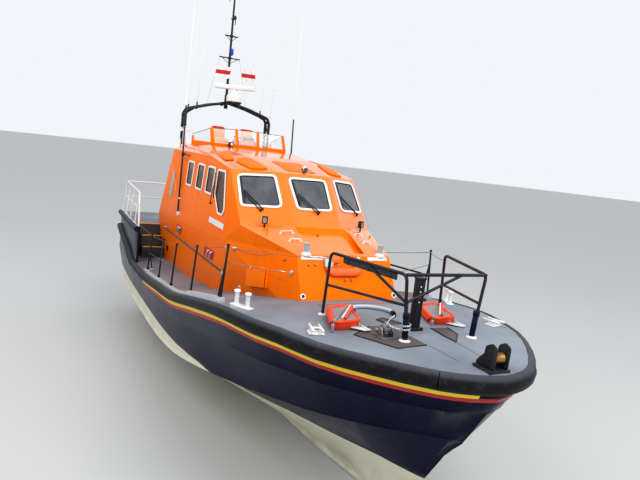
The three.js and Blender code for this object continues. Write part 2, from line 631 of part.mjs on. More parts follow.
function makeDoor() {
  const { half, foot, head, thick } = DOOR;
  const leaf = inDoorFrame([-half, foot + DOOR_GAP, -thick], [half, head - DOOR_GAP, 0]);
  const notches = DOOR_HINGES.map((h) => inDoorFrame([-half - 31, h - 7, -61], [-half + 4, h + 39, 10]));
  return hingeMoving(leaf.subtract(join(notches)), doorAxis, DOOR_HINGES);
}

// Flybridge cockpit, sunk into the roof
const COCKPIT = { x0: -4250, x1: -2750, half: 900, floor: 4330 };
const ARCH_PIVOT = [-4500, 1300, 4520];
const LUG = 14;
const LUG_OFFSET = 62.5;
const HELM_HALF = 330;

function makeRoof() {
  let roof = houseOuter.intersect(aboveRoofLineGap);
  const { x0, x1, half, floor } = COCKPIT;
  roof = roof.subtract(box([x0, -half, floor], [x1, half, 5000]));
  const helm = [
    [x1 - 230, floor - 20], [x1 + 40, floor - 20], [x1 + 40, 4750], [x1 - 60, 4790], [x1 - 250, 4690],
  ];
  roof = roof.add(slabXZ(helm, -HELM_HALF, HELM_HALF));
  for (const [, side] of SIDES) {
    const [px, py, pz] = ARCH_PIVOT;
    for (const dy of [-LUG_OFFSET, LUG_OFFSET]) {
      const y = side * py + dy;
      const outline = [[px - 55, 4300], [px + 90, 4300], [px + 40, pz + 40], [px - 40, pz + 40]];
      const lug = slabXZ(outline, y - LUG / 2, y + LUG / 2);
      roof = roof.add(lug.subtract(box([-6000, -3000, 4000], [0, 3000, 4330])));
    }
  }
  return roof;
}

// Screen posts round the flybridge, port half: foot, head
const SCREEN_POSTS = [
  [[-2350, 1030, 4500], [-2560, 1030, 4960]],
  [[-2500, 300, 4500], [-2640, 310, 4990]],
  [[-3800, 1180, 4400], [-3850, 1180, 4780]],
];
const COAMING = 60;
const COAMING_TOP = 4650;

function makeCoaming() {
  const feet = [[-3830, 1180], [-2350, 1030], [-2480, 300]];
  const path = feet.concat(feet.map(([x, y]) => [x, -y]).reverse());
  const walls = path.slice(1).map(([x, y], i) => {
    const [px, py] = path[i];
    const bar = [[px, py, 0], [x, y, 0]].map(point);
    const run = bar[1].clone().sub(bar[0]).normalize();
    const off = new THREE.Vector3(-run.y, run.x, 0).multiplyScalar(COAMING / 2);
    const corners = [];
    for (const end of bar) {
      for (const s of [-1, 1]) {
        const [x1, y1] = [end.x + s * off.x, end.y + s * off.y];
        corners.push([x1, y1, 4350], [x1, y1, COAMING_TOP]);
      }
    }
    return convex(corners);
  });
  const corner = (a, b) => (foot, head, side) => [
    [foot[0] + a * 35, side * foot[1] + b * 35, foot[2]],
    [head[0] + a * 25, side * head[1] + b * 30, head[2]],
  ];
  const four = [corner(-1, -1), corner(-1, 1), corner(1, -1), corner(1, 1)];
  const posts = SCREEN_POSTS.flatMap(([foot, head]) => (
    SIDES.map(([, side]) => convex(four.flatMap((place) => place(foot, head, side))))));
  return join(walls, posts).subtract(roofCutter);
}

/** A bucket seat on a pedestal. */
function makeSeat([x, y, z], height, width) {
  const w = width / 2;
  const base = box([x - 150, y - 150, z], [x + 150, y + 150, z + height * 0.4]);
  const cushion = box([x - 220, y - w, z + height * 0.4], [x + 230, y + w, z + height * 0.55]);
  const back = convex([[x - 230, 0], [x - 130, 0], [x - 330, 1], [x - 250, 1]].flatMap(([px, up]) => {
    const [half, level] = [w * (1 - up * 0.2), z + height * (0.5 + up * 0.5)];
    return [[px, y - half, level], [px, y + half, level]];
  }));
  return join(base, cushion, back);
}

// Wheelhouse fittings seen through the glass
const CREW_SEATS = [[250, 700], [250, -700], [-1100, 750], [-1100, -750], [-2500, 750], [-2500, -750]];
const SEAT_TRACK = 40;

function makeCrewSeats() {
  const [low, high] = [SOLE_Z + GAP, SOLE_Z + SEAT_TRACK];
  const seats = CREW_SEATS.map(([x, y]) => makeSeat([x, y, SOLE_Z + 20], 1250, 500));
  const tracks = [
    box([-2800, 700, low], [500, 800, high]),
    box([-2800, -800, low], [500, -700, high]),
    box([-2800, -750, low], [-2700, 750, high]),
  ];
  return join(seats, tracks);
}

function makeConsole() {
  const foot = SOLE_Z + GAP;
  const outline = [
    [1100, foot], [1650, foot], [1650, 3050], [1350, 3280], [950, 3120], [950, 2950], [1100, 2800],
  ];
  return slabXZ(outline, -1050, 1050);
}

// Mast arch with its mast, folding aft on two feet
const ARCH_TUBE = 42;
const ARCH_PATH = [[1300, 4640], [1300, 5380], [1225, 5530], [600, 5720], [0, 5850]];   // y, z, port half
const BRACES = [[1300, 4640], [1300, 5000], [1300, 5380], [910, 5625], [600, 5720], [300, 5785], [0, 5850]];
const YARDS = [{ z: 7820, half: 250, radius: 22 }, { z: 7180, half: 420, radius: 20 }];
const ARCH_FORE_X = -4420;
const ARCH_AFT_X = -4720;
const MAST_X = -4830;
const RADAR_X = -4070;
const MAST_TOP_Z = 9600;

function makeArch() {
  const half = ARCH_PATH.slice(0, -1);
  const loop = half.concat([ARCH_PATH[4]], half.slice().reverse().map(([y, z]) => [-y, z]));
  const parts = [ARCH_FORE_X, ARCH_AFT_X].map((x) => pipe(loop.map(([y, z]) => [x, y, z]), ARCH_TUBE));
  for (const [y, z] of BRACES) {
    for (const side of y ? [-1, 1] : [1]) {
      parts.push(rod([ARCH_FORE_X, side * y, z], [ARCH_AFT_X, side * y, z], 25, 6));
    }
  }
  for (const [, side] of SIDES) {
    const [px, py, pz] = ARCH_PIVOT;
    const y = side * py;
    parts.push(convex([-1, 1].flatMap((s) => [
      [px - 40, y + s * 55, pz - 10], [px + 40, y + s * 55, pz - 10],
      [ARCH_FORE_X, y + s * 30, 4660], [ARCH_AFT_X, y + s * 30, 4660],
    ])));
    parts.push(rod([px, y - 55, pz], [px, y + 55, pz], 40, 12));
  }
  parts.push(box([-4850, -180, 5840], [-3850, 180, 5860]));
  const pedestal = [[0, -5], [230, -5], [250, 90], [200, 220], [110, 260], [110, 300], [0, 300]];
  parts.push(turned(pedestal, [RADAR_X, 0, 5860], 12));
  parts.push(rod([MAST_X, 0, 5700], [MAST_X, 0, MAST_TOP_Z], 45, 8, 22));
  parts.push(rod([MAST_X, 0, 5780], [ARCH_AFT_X, 0, 5860], 40, 8));
  for (const { z, half: reach, radius } of YARDS) {
    parts.push(rod([MAST_X, -reach, z], [MAST_X, reach, z], radius, 6));
  }
  parts.push(box([MAST_X - 10, -60, 8290], [MAST_X + 180, 60, 8330]));
  return join(parts);
}

function makeScanner() {
  const half = [[585, 0], [600, 40], [600, 90], [585, 130]];
  const bar = slabXZ(half.concat(half.slice().reverse().map(([x, z]) => [-x, z])), -75, 75);
  const hub = turned([[0, -59.6], [70, -59.6], [70, 10], [0, 10]], [0, 0, 0], 10);
  return join(bar, hub);
}
const SCANNER_Z = 6220;

// Foredeck
const POST = { x: 6030, y: -120, half: 62, top: 3050 };
const PULPIT_TUBE = 25;
const PULPIT_TOP = 3200;
const PULPIT = { frontX: 6500, frontY: 720, footY: 610, aftX: 5000, aftY: 1130, aftFootY: 1165 };
function makePulpit() {
  const { frontX, frontY, footY, aftX, aftY, aftFootY } = PULPIT;
  const parts = [pipe([[frontX, -frontY, PULPIT_TOP], [frontX, frontY, PULPIT_TOP]], PULPIT_TUBE)];
  for (const [, side] of SIDES) {
    const y = (value) => side * value;
    parts.push(pipe([
      [frontX, y(footY), 2000], [frontX, y(frontY), PULPIT_TOP], [aftX + 60, y(aftY), PULPIT_TOP],
      [aftX, y(aftY), PULPIT_TOP - 60], [aftX, y(aftFootY), 2000],
    ], PULPIT_TUBE));
    parts.push(rod([frontX, y(footY), 2000], [frontX, y(footY + 30), 2640], 44, 12));
    parts.push(rod([frontX, y(footY + 60), 2760], [aftX, y(aftY + 15), 2680], 20, 8));
  }
  const knee = [frontX, -footY - 65, 2800];
  parts.push(rod(knee, [5750, -919, PULPIT_TOP], 22, 8));
  parts.push(rod(knee, [frontX, 250, PULPIT_TOP], 22, 8));
  return join(parts);
}

function makeTowPost() {
  const { x, y, half, top } = POST;
  const block = (reach, height) => box([x - reach, y - reach, 2000], [x + reach, y + reach, height]);
  const handle = rod([x, y - half - 70, 2700], [x, y + half + 90, 2700], 24, 10);
  return onDeck(join(block(half, top), block(half + 40, 2290), handle));
}

const DRUM = { x: 6290, y: -800, z: 2350, radius: 80, length: 130 };
function makeWindlass() {
  const { x, y, z, radius, length } = DRUM;
  const cheek = (side) => {
    const mid = y + side * (length / 2 + 30);
    return slabXZ([[x - 80, 2100], [x + 80, 2100], [x + 35, z + 40], [x - 35, z + 40]], mid - 10, mid + 10);
  };
  const base = box([x - 150, y - 120, 2000], [x + 110, y + 120, 2260]);
  const motor = box([x - 150, y - 120, 2200], [x - radius - 12, y + 120, 2350]);
  const pin = rod([x, y - length, z], [x, y + length, z], boreRadius(20), 12);
  return onDeck(join(base, motor, cheek(-1), cheek(1))).subtract(pin);
}
function makeDrum() {
  const { x, y, z, radius, length } = DRUM;
  const half = length / 2;
  const spool = rod([x, y - half, z], [x, y + half, z], radius * 0.55, 12);
  const flanges = [-1, 1].map((s) => rod([x, y + s * half, z], [x, y + s * (half - 22), z], radius, 16));
  const axle = rod([x, y - half - 45, z], [x, y + half + 45, z], 20, 10);
  return join(spool, flanges, axle);
}

const ROLLER = { x: 7690, y: -30, z: 2390, radius: 75, length: 190 };
function makeFairlead() {
  const { x, y, z, length } = ROLLER;
  const cheeks = [-1, 1].map((s) => {
    const mid = y + s * (length / 2 + 16);
    const outline = [[x - 230, 2100], [x + 110, 2100], [x + 120, 2490], [x + 85, 2555], [x + 20, 2580],
      [x - 50, 2555], [x - 85, 2500], [x - 215, 2310]];
    return slabXZ(outline, mid - 10, mid + 10);
  });
  const floor = box([x - 230, y - length / 2 - 80, 2000], [x + 110, y + length / 2 + 80, 2265]);
  const pin = rod([x, y - length, z], [x, y + length, z], boreRadius(18), 12);
  return onDeck(join(cheeks, floor)).subtract(pin);
}
function makeRoller() {
  const { x, y, z, radius, length } = ROLLER;
  const half = length / 2;
  const body = rod([x, y - half, z], [x, y + half, z], radius, 16);
  const axle = rod([x, y - half - 24, z], [x, y + half + 24, z], 18, 10);
  return join(body, axle);
}

// Anchors stowed flat on the foredeck, in tubular guards
// Both anchors lie the same way round: guard corners in their own frame, [along, across, lift]
const ANCHOR = {
  starboard: [5450, -1100], port: [5450, 680], z: 2330, angle: -0.5,
  corners: [[-280, -200, 0], [-600, 130, 0], [340, 300, 30], [580, -100, 10]],
  crown: [[370, 130], [170, 300], [400, 470], [470, 380]],
};
function makeAnchor(side) {
  const [x, y] = side < 0 ? ANCHOR.starboard : ANCHOR.port;
  const turn = new THREE.Matrix4().makeRotationZ(ANCHOR.angle).setPosition(x, y, ANCHOR.z);
  const place = (a) => point(a).applyMatrix4(turn).toArray();
  const corners = ANCHOR.corners.map(place);
  const guard = pipe([...corners, corners[0]], 28);
  const shank = rod(corners[1], corners[3], 22);
  const flukes = convex([-12, 12].flatMap((up) => ANCHOR.corners.map(([u, v, lift]) => place([u, v, lift + up]))));
  const crown = convex([-85, -65].flatMap((up) => ANCHOR.crown.map(([u, v]) => place([u, v, up]))));
  const legs = ANCHOR.corners.map(([u, v]) => rod(place([u, v, -330]), place([u, v, 20]), 24));
  return onDeck(join(guard, shank, flukes, crown, legs));
}

const BITTS = { x: 4020, y: 2170, turn: 25 };
function makeBitts(side) {
  const base = box([-230, -65, 1800], [230, 65, 2075]);
  const posts = [-130, 130].map((dx) => rod([dx, 0, 1990], [dx, 0, 2300], 38, 12));
  const caps = [-130, 130].map((dx) => rod([dx, 0, 2290], [dx, 0, 2325], 55, 12));
  const pair = join(base, posts, caps).rotate([0, 0, -side * BITTS.turn]);
  return onDeck(pair.translate([BITTS.x, side * BITTS.y, 0]));
}

// Side rails: five posts on a toe strip
const RAIL_POSTS = [-3260, -1810, -440, 1300, 3200];
const RAIL_HEIGHT = 1040;
const RAIL_INSET = 110;
const RAIL_LEAN = 70;
function makeSideRail(side) {
  const xs = [-3500, -2600, -1700, -800, 100, 900, 1700, 2500, 3400];
  const strip = loft(xs.map((x) => {
    const y = deckHalf(x) - RAIL_INSET;
    const z = deckEdgeZ(x);
    return [[-45, -200], [45, -200], [45, 45], [-45, 45]].map(([dy, dz]) => [x, side * (y + dy), z + dz]);
  }));
  const posts = RAIL_POSTS.map((x) => {
    const y = deckHalf(x) - RAIL_INSET;
    const z = deckEdgeZ(x);
    return rod([x, side * y, z], [x, side * (y - RAIL_LEAN), z + RAIL_HEIGHT], 20);
  });
  const last = RAIL_POSTS[RAIL_POSTS.length - 1];
  const y = deckHalf(last) - RAIL_INSET;
  const z = deckEdgeZ(last);
  const brace = rod([last - 190, side * (y - 20), z - 10],
    [last, side * (y - RAIL_LEAN * 0.8), z + RAIL_HEIGHT * 0.75], 18);
  return onDeck(join(strip, posts, brace));
}

// White rail round the aft deck
const STERN_TOP = 3000;
const STERN_MIDDLE = 2490;
const STERN_END_X = -7900;
const STERN_POSTS = [-7900, -6980, -6060, -5150];
function makeSternRail() {
  const y = (x) => deckHalf(x) - BULWARK / 2;
  const topY = (x) => y(x) - 90;
  const parts = [];
  for (const [, side] of SIDES) {
    const at = (x, z, inset = true) => [x, side * (inset ? topY(x) : y(x)), z];
    parts.push(pipe([at(-4470, BULWARK_TOP_Z, false), at(-5150, 2920), at(STERN_END_X, STERN_TOP)], 24));
    parts.push(pipe([at(-4810, 2440), at(STERN_END_X, STERN_MIDDLE)], 18));
    for (const x of STERN_POSTS) {
      parts.push(rod(at(x, BULWARK_TOP_Z - 20, false), at(x, x < -6000 ? 2980 : 2925), 20));
    }
  }
  const end = topY(STERN_END_X);
  for (const [z, radius] of [[STERN_TOP, 24], [STERN_MIDDLE, 18]]) {
    parts.push(rod([STERN_END_X, -end, z], [STERN_END_X, end, z], radius));
  }
  for (const post of [-750, 750]) {
    parts.push(rod([STERN_END_X, post, AFT_DECK_Z + GAP], [STERN_END_X, post, STERN_TOP], 20));
  }
  const underDeck = box([-9000, -3000, 1000], [0, 3000, AFT_DECK_Z + GAP]);
  const overBulwark = box([-9000, -3000, BULWARK_TOP_Z + GAP], [0, 3000, 4000]);
  const bulwarks = join(SIDES.map(([, side]) => bulwarkCutter(side))).subtract(overBulwark);
  return join(parts).subtract(underDeck).subtract(bulwarks);
}

// Whip aerials on the house sides
const WHIP_TOP = 8300;

function makeWhip(side) {
  const foot = [-2940, side * 1675, 2640];
  const clamp = [-3150, side * 1600, 4260];
  const slopeX = (clamp[0] - foot[0]) / (clamp[2] - foot[2]);
  const tip = [clamp[0] + slopeX * (WHIP_TOP - clamp[2]), side * 1590, WHIP_TOP];
  const shoe = box([foot[0] - 60, foot[1] - side * 60, 2600], [foot[0] + 60, foot[1] + side * 10, 2720]);
  const bracket = box([clamp[0] - 30, clamp[1] - side * 90, 4200], [clamp[0] + 30, clamp[1], 4240]);
  return join(rod(foot, clamp, 24, 8), rod(clamp, tip, 22, 8, 9), shoe, bracket).subtract(wheelhouseCutter);
}

// Finishes
const paint = (color, roughness, metalness = 0) => (
  new THREE.MeshStandardMaterial({ color, roughness, metalness }));
const NAVY = paint(0x0f1330, 0.3);
const ORANGE = paint(0xff6a0c, 0.35);
const DECK_GREY = paint(0x73757e, 0.85);
const RUBBER = paint(0x17181b, 0.7);
const WHITE = paint(0xe8e6df, 0.4);
const BLACK = paint(0x121316, 0.45);
const STEEL = paint(0x9a9c9f, 0.35, 0.9);
const BRONZE = paint(0xb07a3a, 0.35, 0.9);
const GLASS = paint(0x2b3036, 0.05);
const SEAT = paint(0x2a2c33, 0.8);
const YELLOW = paint(0xe2a31a, 0.6);

const roof = makeRoof();
const roofCutter = roof.translate([0, 0, GAP]);
const wheelhouse = makeWheelhouse();
const wheelhouseCutter = join(houseOuter.scale([1, 1.0004, 1]).translate([0, 0, GAP]));

// Assembly
const group = new THREE.Group();

/** Adds one named sub-part, placed by its own position and turn. */
function add(name, body, material, position = [0, 0, 0], turnZ = 0) {
  const mesh = new THREE.Mesh(toGeometry(body), material);
  mesh.name = name;
  mesh.position.set(...position);
  mesh.rotation.z = turnZ;
  group.add(mesh);
}

add("hull", hull, NAVY);
add("keel_band", makeKeelBand(), STEEL);
add("deck", loft(STATIONS.map((s) => deckRing(s, DECK_THICKNESS - GAP, 0))), DECK_GREY);
add("bow_fender", makeBowFender(), RUBBER);
add("aft_quarter", makeQuarter(), DECK_GREY);
add("transom_door", makeTransomDoor(), NAVY);
add("deckhouse_trunk", makeTrunk(), ORANGE);
add("wheelhouse_sole", makeSole(), DECK_GREY);
add("wheelhouse", wheelhouse, ORANGE);
add("wheelhouse_door", makeDoor(), ORANGE);
add("wheelhouse_roof", roof, ORANGE);
for (const [name, { frame, corners }] of Object.entries(WINDSCREENS)) {
  const hole = facetPlate(frame, corners, FRAME_WIDTH, -5, 30, 60);
  const ring = facetPlate(frame, corners, 0, GAP, 14, 100).subtract(hole);
  const pane = facetPlate(frame, corners, OPENING_MARGIN + GAP, -14, GAP * 2, 60);
  add(`windscreen_${name}`, ring.add(pane), GLASS);
}
add("helm_console", makeConsole(), SEAT);
add("crew_seats", makeCrewSeats(), SEAT);
add("flybridge_coaming", makeCoaming(), ORANGE);
add("mast_arch", makeArch(), BLACK);
add("radar_scanner", makeScanner(), WHITE, [RADAR_X, 0, SCANNER_Z], THREE.MathUtils.degToRad(55));
add("pulpit", onDeck(makePulpit()), BLACK);
add("tow_post", makeTowPost(), BLACK);
add("windlass", makeWindlass(), BLACK);
add("windlass_drum", makeDrum(), STEEL);
add("bow_fairlead", makeFairlead(), BLACK);
add("bow_roller", makeRoller(), BRONZE);
add("stern_rail", makeSternRail(), WHITE);
for (const [name, side] of SIDES) {
  add(`bilge_keel_${name}`, makeBilgeKeel(side), NAVY);
  add(`side_fender_${name}`, makeSideFender(side), RUBBER);
  add(`bulwark_${name}`, makeBulwark(side), NAVY);
  add(`quarter_fender_${name}`, makeQuarterFender(side), RUBBER);
  add(`flybridge_seat_${name}`, makeSeat([-3700, side * 430, COCKPIT.floor + GAP], 740, 480), YELLOW);
  add(`anchor_${name}`, makeAnchor(side), ORANGE);
  add(`bitts_${name}`, makeBitts(side), WHITE);
  add(`side_rail_${name}`, makeSideRail(side), BLACK);
  add(`whip_aerial_${name}`, makeWhip(side), WHITE);
  add(`propeller_${name}`, makePropeller(side), BRONZE);
  add(`shaft_bracket_${name}`, makeShaftBracket(side), BRONZE);
  add(`rudder_${name}`, makeRudder(side), STEEL);
}

export default group;
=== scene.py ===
"""Looks of a slipway motor lifeboat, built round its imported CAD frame.

Metres, in the frame's own axes: +X to the bow, +Y to port, +Z up, with the origin amidships at the waterline.
CAD solids whose shape is right are copied, merged and softened. Everything smaller is modelled new.
"""

import logging
from contextlib import contextmanager
from dataclasses import dataclass
from enum import Enum
from functools import cache
from math import asin, atan2, copysign, cos, pi, radians, sin, tan
from typing import Callable, Iterator, Sequence, Union

import bmesh
import bpy
from mathutils import Matrix, Vector
from mathutils.bvhtree import BVHTree


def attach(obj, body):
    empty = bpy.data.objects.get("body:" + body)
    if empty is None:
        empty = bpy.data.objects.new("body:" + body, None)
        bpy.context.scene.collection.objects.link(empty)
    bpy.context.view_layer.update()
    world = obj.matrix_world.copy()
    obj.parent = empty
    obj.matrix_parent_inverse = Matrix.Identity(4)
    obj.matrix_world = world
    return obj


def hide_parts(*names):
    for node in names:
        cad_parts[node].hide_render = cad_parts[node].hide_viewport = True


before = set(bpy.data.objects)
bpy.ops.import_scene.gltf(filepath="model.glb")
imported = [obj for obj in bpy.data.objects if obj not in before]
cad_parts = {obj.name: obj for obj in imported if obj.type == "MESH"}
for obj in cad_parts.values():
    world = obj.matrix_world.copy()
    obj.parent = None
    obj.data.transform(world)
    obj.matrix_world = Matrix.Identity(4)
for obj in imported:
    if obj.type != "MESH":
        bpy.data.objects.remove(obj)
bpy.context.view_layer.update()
LOG = logging.getLogger("lifeboat")

Point = Sequence[float]
Plan = Sequence[tuple[float, float]]
Piece = bpy.types.Object
Hit = tuple[Vector, Vector]
Number = Union[float, "Signal"]
UP = Vector((0, 0, 1))
TINY = 1e-6  # keeps divisions off zero
MERGED = 2e-5  # vertices nearer than this become one
LIFT = 0.0005  # how far thin things stand off the skin
ABEAM, AHEAD, ABOVE, ASTERN = -3, 6, 6, -9  # where rays towards the boat's skin start


def vec(x: float, y: float, z: float) -> Vector:
    """A vector from its three parts."""
    return Vector((x, y, z))


# Shaders


class Signal:
    """A shader value. Python operators on it add Math nodes."""

    def __init__(self, shader: "Shader", socket: bpy.types.NodeSocket) -> None:
        """Wraps one output socket of a shader's tree."""
        self.shader = shader
        self.socket = socket

    def math(self, operation: str, *others: Number, clamp: bool = False, swap: bool = False) -> "Signal":
        """Adds a Math node.

        Args:
            operation: Blender's name of the operation.
            others: further operands.
            clamp: whether the result is held between 0 and 1.
            swap: whether this value comes second.

        Returns:
            The node's result.
        """
        values = [self, *others]
        if swap:
            values.reverse()
        settings = {"operation": operation, "use_clamp": clamp}
        return self.shader.node("ShaderNodeMath", settings, dict(enumerate(values)))

    @staticmethod
    def operator(operation: str, swap: bool = False) -> Callable[..., "Signal"]:
        """Makes the method that stands behind one Python operator."""

        def method(self: "Signal", *others: Number) -> "Signal":
            """Adds the Math node."""
            return self.math(operation, *others, swap=swap)

        return method

    __add__ = __radd__ = operator("ADD")
    __sub__, __rsub__ = operator("SUBTRACT"), operator("SUBTRACT", True)
    __mul__ = __rmul__ = operator("MULTIPLY")
    __truediv__ = operator("DIVIDE")

    def step(self, low: float, high: float) -> "Signal":
        """Rises from 0 at low to 1 at high, or falls where low is the larger."""
        return ((self - low) / (high - low)).math("ADD", 0, clamp=True)


class Shader:
    """The node tree of one material."""

    def __init__(self, name: str) -> None:
        """Makes a material with a bare Principled shader."""
        self.material = bpy.data.materials.new(name)
        self.material.use_nodes = True
        self.tree = self.material.node_tree
        self.surface = self.tree.nodes["Principled BSDF"]

    def node(
            self, kind: str, settings: dict | None = None, inputs: dict | None = None, output: str | int = 0) -> Signal:
        """Adds any node.

        Args:
            kind: Blender's type name of the node.
            settings: attributes, set first. "stops" holds a ramp's positions and colours.
            inputs: values or signals by socket name or number.
            output: name or number of the output that is returned.

        Returns:
            The chosen output as a signal.
        """
        made = self.tree.nodes.new(kind)
        for key, value in (settings or {}).items():
            if key == "stops":
                for place, (position, colour) in enumerate(value):
                    stop = (made.color_ramp.elements[place] if place < 2 else made.color_ramp.elements.new(position))
                    stop.position, stop.color = position, (*colour, 1)
            else:
                setattr(made, key, value)
        for key, value in (inputs or {}).items():
            self.feed(made.inputs[key], value)
        return Signal(self, made.outputs[output])

    def feed(self, socket: bpy.types.NodeSocket, value: object) -> None:
        """Gives a socket a value or a link."""
        if isinstance(value, Signal):
            self.tree.links.new(value.socket, socket)
        elif isinstance(value, (tuple, list)) and len(value) == 3 and socket.type == "RGBA":
            socket.default_value = (*value, 1)
        else:
            socket.default_value = value

    def place(self, scale: Point = (1, 1, 1), turn: Point = (0, 0, 0)) -> Signal:
        """Object coordinates, stretched and turned."""
        here = self.node("ShaderNodeTexCoord", output="Object")
        return self.node("ShaderNodeMapping", None, {"Vector": here, "Scale": scale, "Rotation": turn})

    def axis(self, letter: str) -> Signal:
        """One Object coordinate: X, Y or Z."""
        here = self.node("ShaderNodeTexCoord", output="Object")
        return self.node("ShaderNodeSeparateXYZ", None, {"Vector": here}, letter)

    def noise(self, scale: float, detail: float = 3, rough: float = 0.55, stretch: Point = (1, 1, 1)) -> Signal:
        """Cloudy noise from 0 to 1 with the stated number of waves in a metre."""
        return self.node(
            "ShaderNodeTexNoise", None,
            {"Vector": self.place(stretch), "Scale": scale, "Detail": detail, "Roughness": rough})

    def cells(self, scale: float, feature: str = "F1") -> Signal:
        """Distance to the nearest of many scattered points."""
        return self.node(
            "ShaderNodeTexVoronoi", {"feature": feature}, {"Vector": self.place(), "Scale": scale}, "Distance")

    def blend(self, factor: Number, first: object, second: object) -> Signal:
        """Colour between two colours."""
        return self.node("ShaderNodeMix", {"data_type": "RGBA"}, {0: factor, 6: first, 7: second}, 2)

    def bump(self, height: Signal, strength: float, depth: float) -> None:
        """Raises the surface by a height signal.

        Args:
            height: from 0 to 1.
            strength: share of the effect.
            depth: metres between 0 and 1.
        """
        self.surface_set(
            Normal=self.node(
                "ShaderNodeBump", None, {"Height": height, "Strength": strength, "Distance": depth}, "Normal"))

    def surface_set(self, **values: object) -> None:
        """Sets sockets of the Principled shader, written with underscores for spaces."""
        for key, value in values.items():
            self.feed(self.surface.inputs[key.replace("_", " ")], value)


@dataclass(frozen=True)
class Finish:
    """A surface finish: its name and the record's material slot."""

    name: str
    slot: str

    def paint(self, shader: Shader) -> None:
        """Builds the nodes. Each kind of finish has its own."""
        raise NotImplementedError

    def material(self) -> bpy.types.Material:
        """The finish as a material, made once."""
        return made_material(self)


@cache
def made_material(finish: Finish) -> bpy.types.Material:
    """Makes a finish's material the first time it is asked for."""
    shader = Shader(finish.name)
    finish.paint(shader)
    return shader.material


@dataclass(frozen=True)
class Gloss(Finish):
    """Sprayed paint: sun-faded patches, rain streaks down the sides, faint orange peel and salt haze."""

    colour: Point = (0.8, 0.8, 0.8)
    roughness: float = 0.28
    coat: float = 0.35
    fade: float = 0.1
    streaks: float = 0.12
    shine: float = 0.4
    grime: Point = (0.09, 0.06, 0.045)
    peel: float = 0.0006

    def paint(self, shader: Shader) -> None:
        """Builds the nodes."""
        clouds = shader.noise(0.9, 4)
        fine = shader.noise(14, 3)
        runs = shader.noise(9, 3, 0.6, (1, 1, 0.09)).step(0.52, 0.75)
        patches = shader.noise(1.7, 2).step(0.4, 0.7)
        dark = tuple(c * (1 - self.fade) for c in self.colour)
        pale = tuple(min(1, c * (1 + self.fade * 0.6) + self.fade * 0.02) for c in self.colour)
        colour = shader.blend(clouds.step(0.3, 0.7), dark, pale)
        dirt = runs * patches * self.streaks + fine.step(0.62, 0.8) * self.streaks * 0.35
        shader.surface_set(
            Base_Color=shader.blend(dirt, colour, self.grime), Roughness=self.roughness + clouds * 0.10 + dirt * 0.5,
            Coat_Weight=self.coat, Coat_Roughness=0.08, Specular_IOR_Level=self.shine)
        shader.bump(shader.noise(160, 2) * 0.4 + clouds * 0.6, 0.35, self.peel)


@dataclass(frozen=True)
class Chipped(Finish):
    """Hard-worn paint over metal: scuffs, chips and a salt bloom."""

    colour: Point = (0.01, 0.01, 0.013)
    under: Point = (0.16, 0.15, 0.14)
    roughness: float = 0.35
    chips: float = 0.5
    bloom: Point = (0.2, 0.2, 0.2)

    def paint(self, shader: Shader) -> None:
        """Builds the nodes."""
        clouds = shader.noise(6, 4)
        flakes = shader.noise(55, 4, 0.65).step(0.68, 0.72) * clouds.step(0.5, 0.62) * self.chips
        salt = shader.noise(3, 3, 0.6, (1, 1, 0.3)).step(0.45, 0.8) * 0.16
        colour = shader.blend(salt, self.colour, self.bloom)
        shader.surface_set(
            Base_Color=shader.blend(flakes, colour, self.under),
            Roughness=self.roughness + clouds * 0.22 + flakes * 0.2, Coat_Weight=0.08, Specular_IOR_Level=0.35)
        shader.bump(1 - flakes + shader.noise(240, 2) * 0.25, 0.5, 0.0006)


@dataclass(frozen=True)
class Topsides(Finish):
    """Hull paint: dark gloss above the painted waterline, pale bottom paint below it."""

    colour: Point = (0.0018, 0.0024, 0.022)
    bottom: Point = (0.66, 0.63, 0.5)
    line: float = 0.1

    def paint(self, shader: Shader) -> None:
        """Builds the nodes."""
        height = shader.axis("Z")
        wander = shader.noise(1.3, 3)
        scuffs = shader.noise(5, 5, 0.7, (0.12, 1, 1)).step(0.6, 0.78)
        salt = shader.noise(2.2, 4, 0.6, (1, 1, 0.25)).step(0.45, 0.85)
        top = shader.blend(scuffs * 0.07 + salt * 0.035, self.colour, (0.16, 0.17, 0.2))
        weed = (height + wander * 0.25).step(0.24, -0.25) * wander.step(0.42, 0.75)
        rust = shader.noise(7, 4, 0.6, (1, 1, 0.12)).step(0.6, 0.8)
        low = shader.blend(weed * 0.5, self.bottom, (0.2, 0.21, 0.13))
        low = shader.blend(rust * 0.22, low, (0.2, 0.12, 0.06))
        above = height.step(self.line - 0.003, self.line + 0.003)
        edge = height.step(self.line + 0.09, self.line + 0.004) * above
        top = shader.blend(edge * wander.step(0.35, 0.7) * 0.3, top, (0.2, 0.19, 0.15))
        shader.surface_set(
            Base_Color=shader.blend(above, low, top), Roughness=0.62 - above * 0.4 + scuffs * 0.15 + salt * above * 0.1,
            Coat_Weight=above * 0.02, Coat_Roughness=0.06, Specular_IOR_Level=0.1)
        shader.bump(wander * 0.8 + shader.noise(120, 2) * 0.06, 0.5, 0.004)


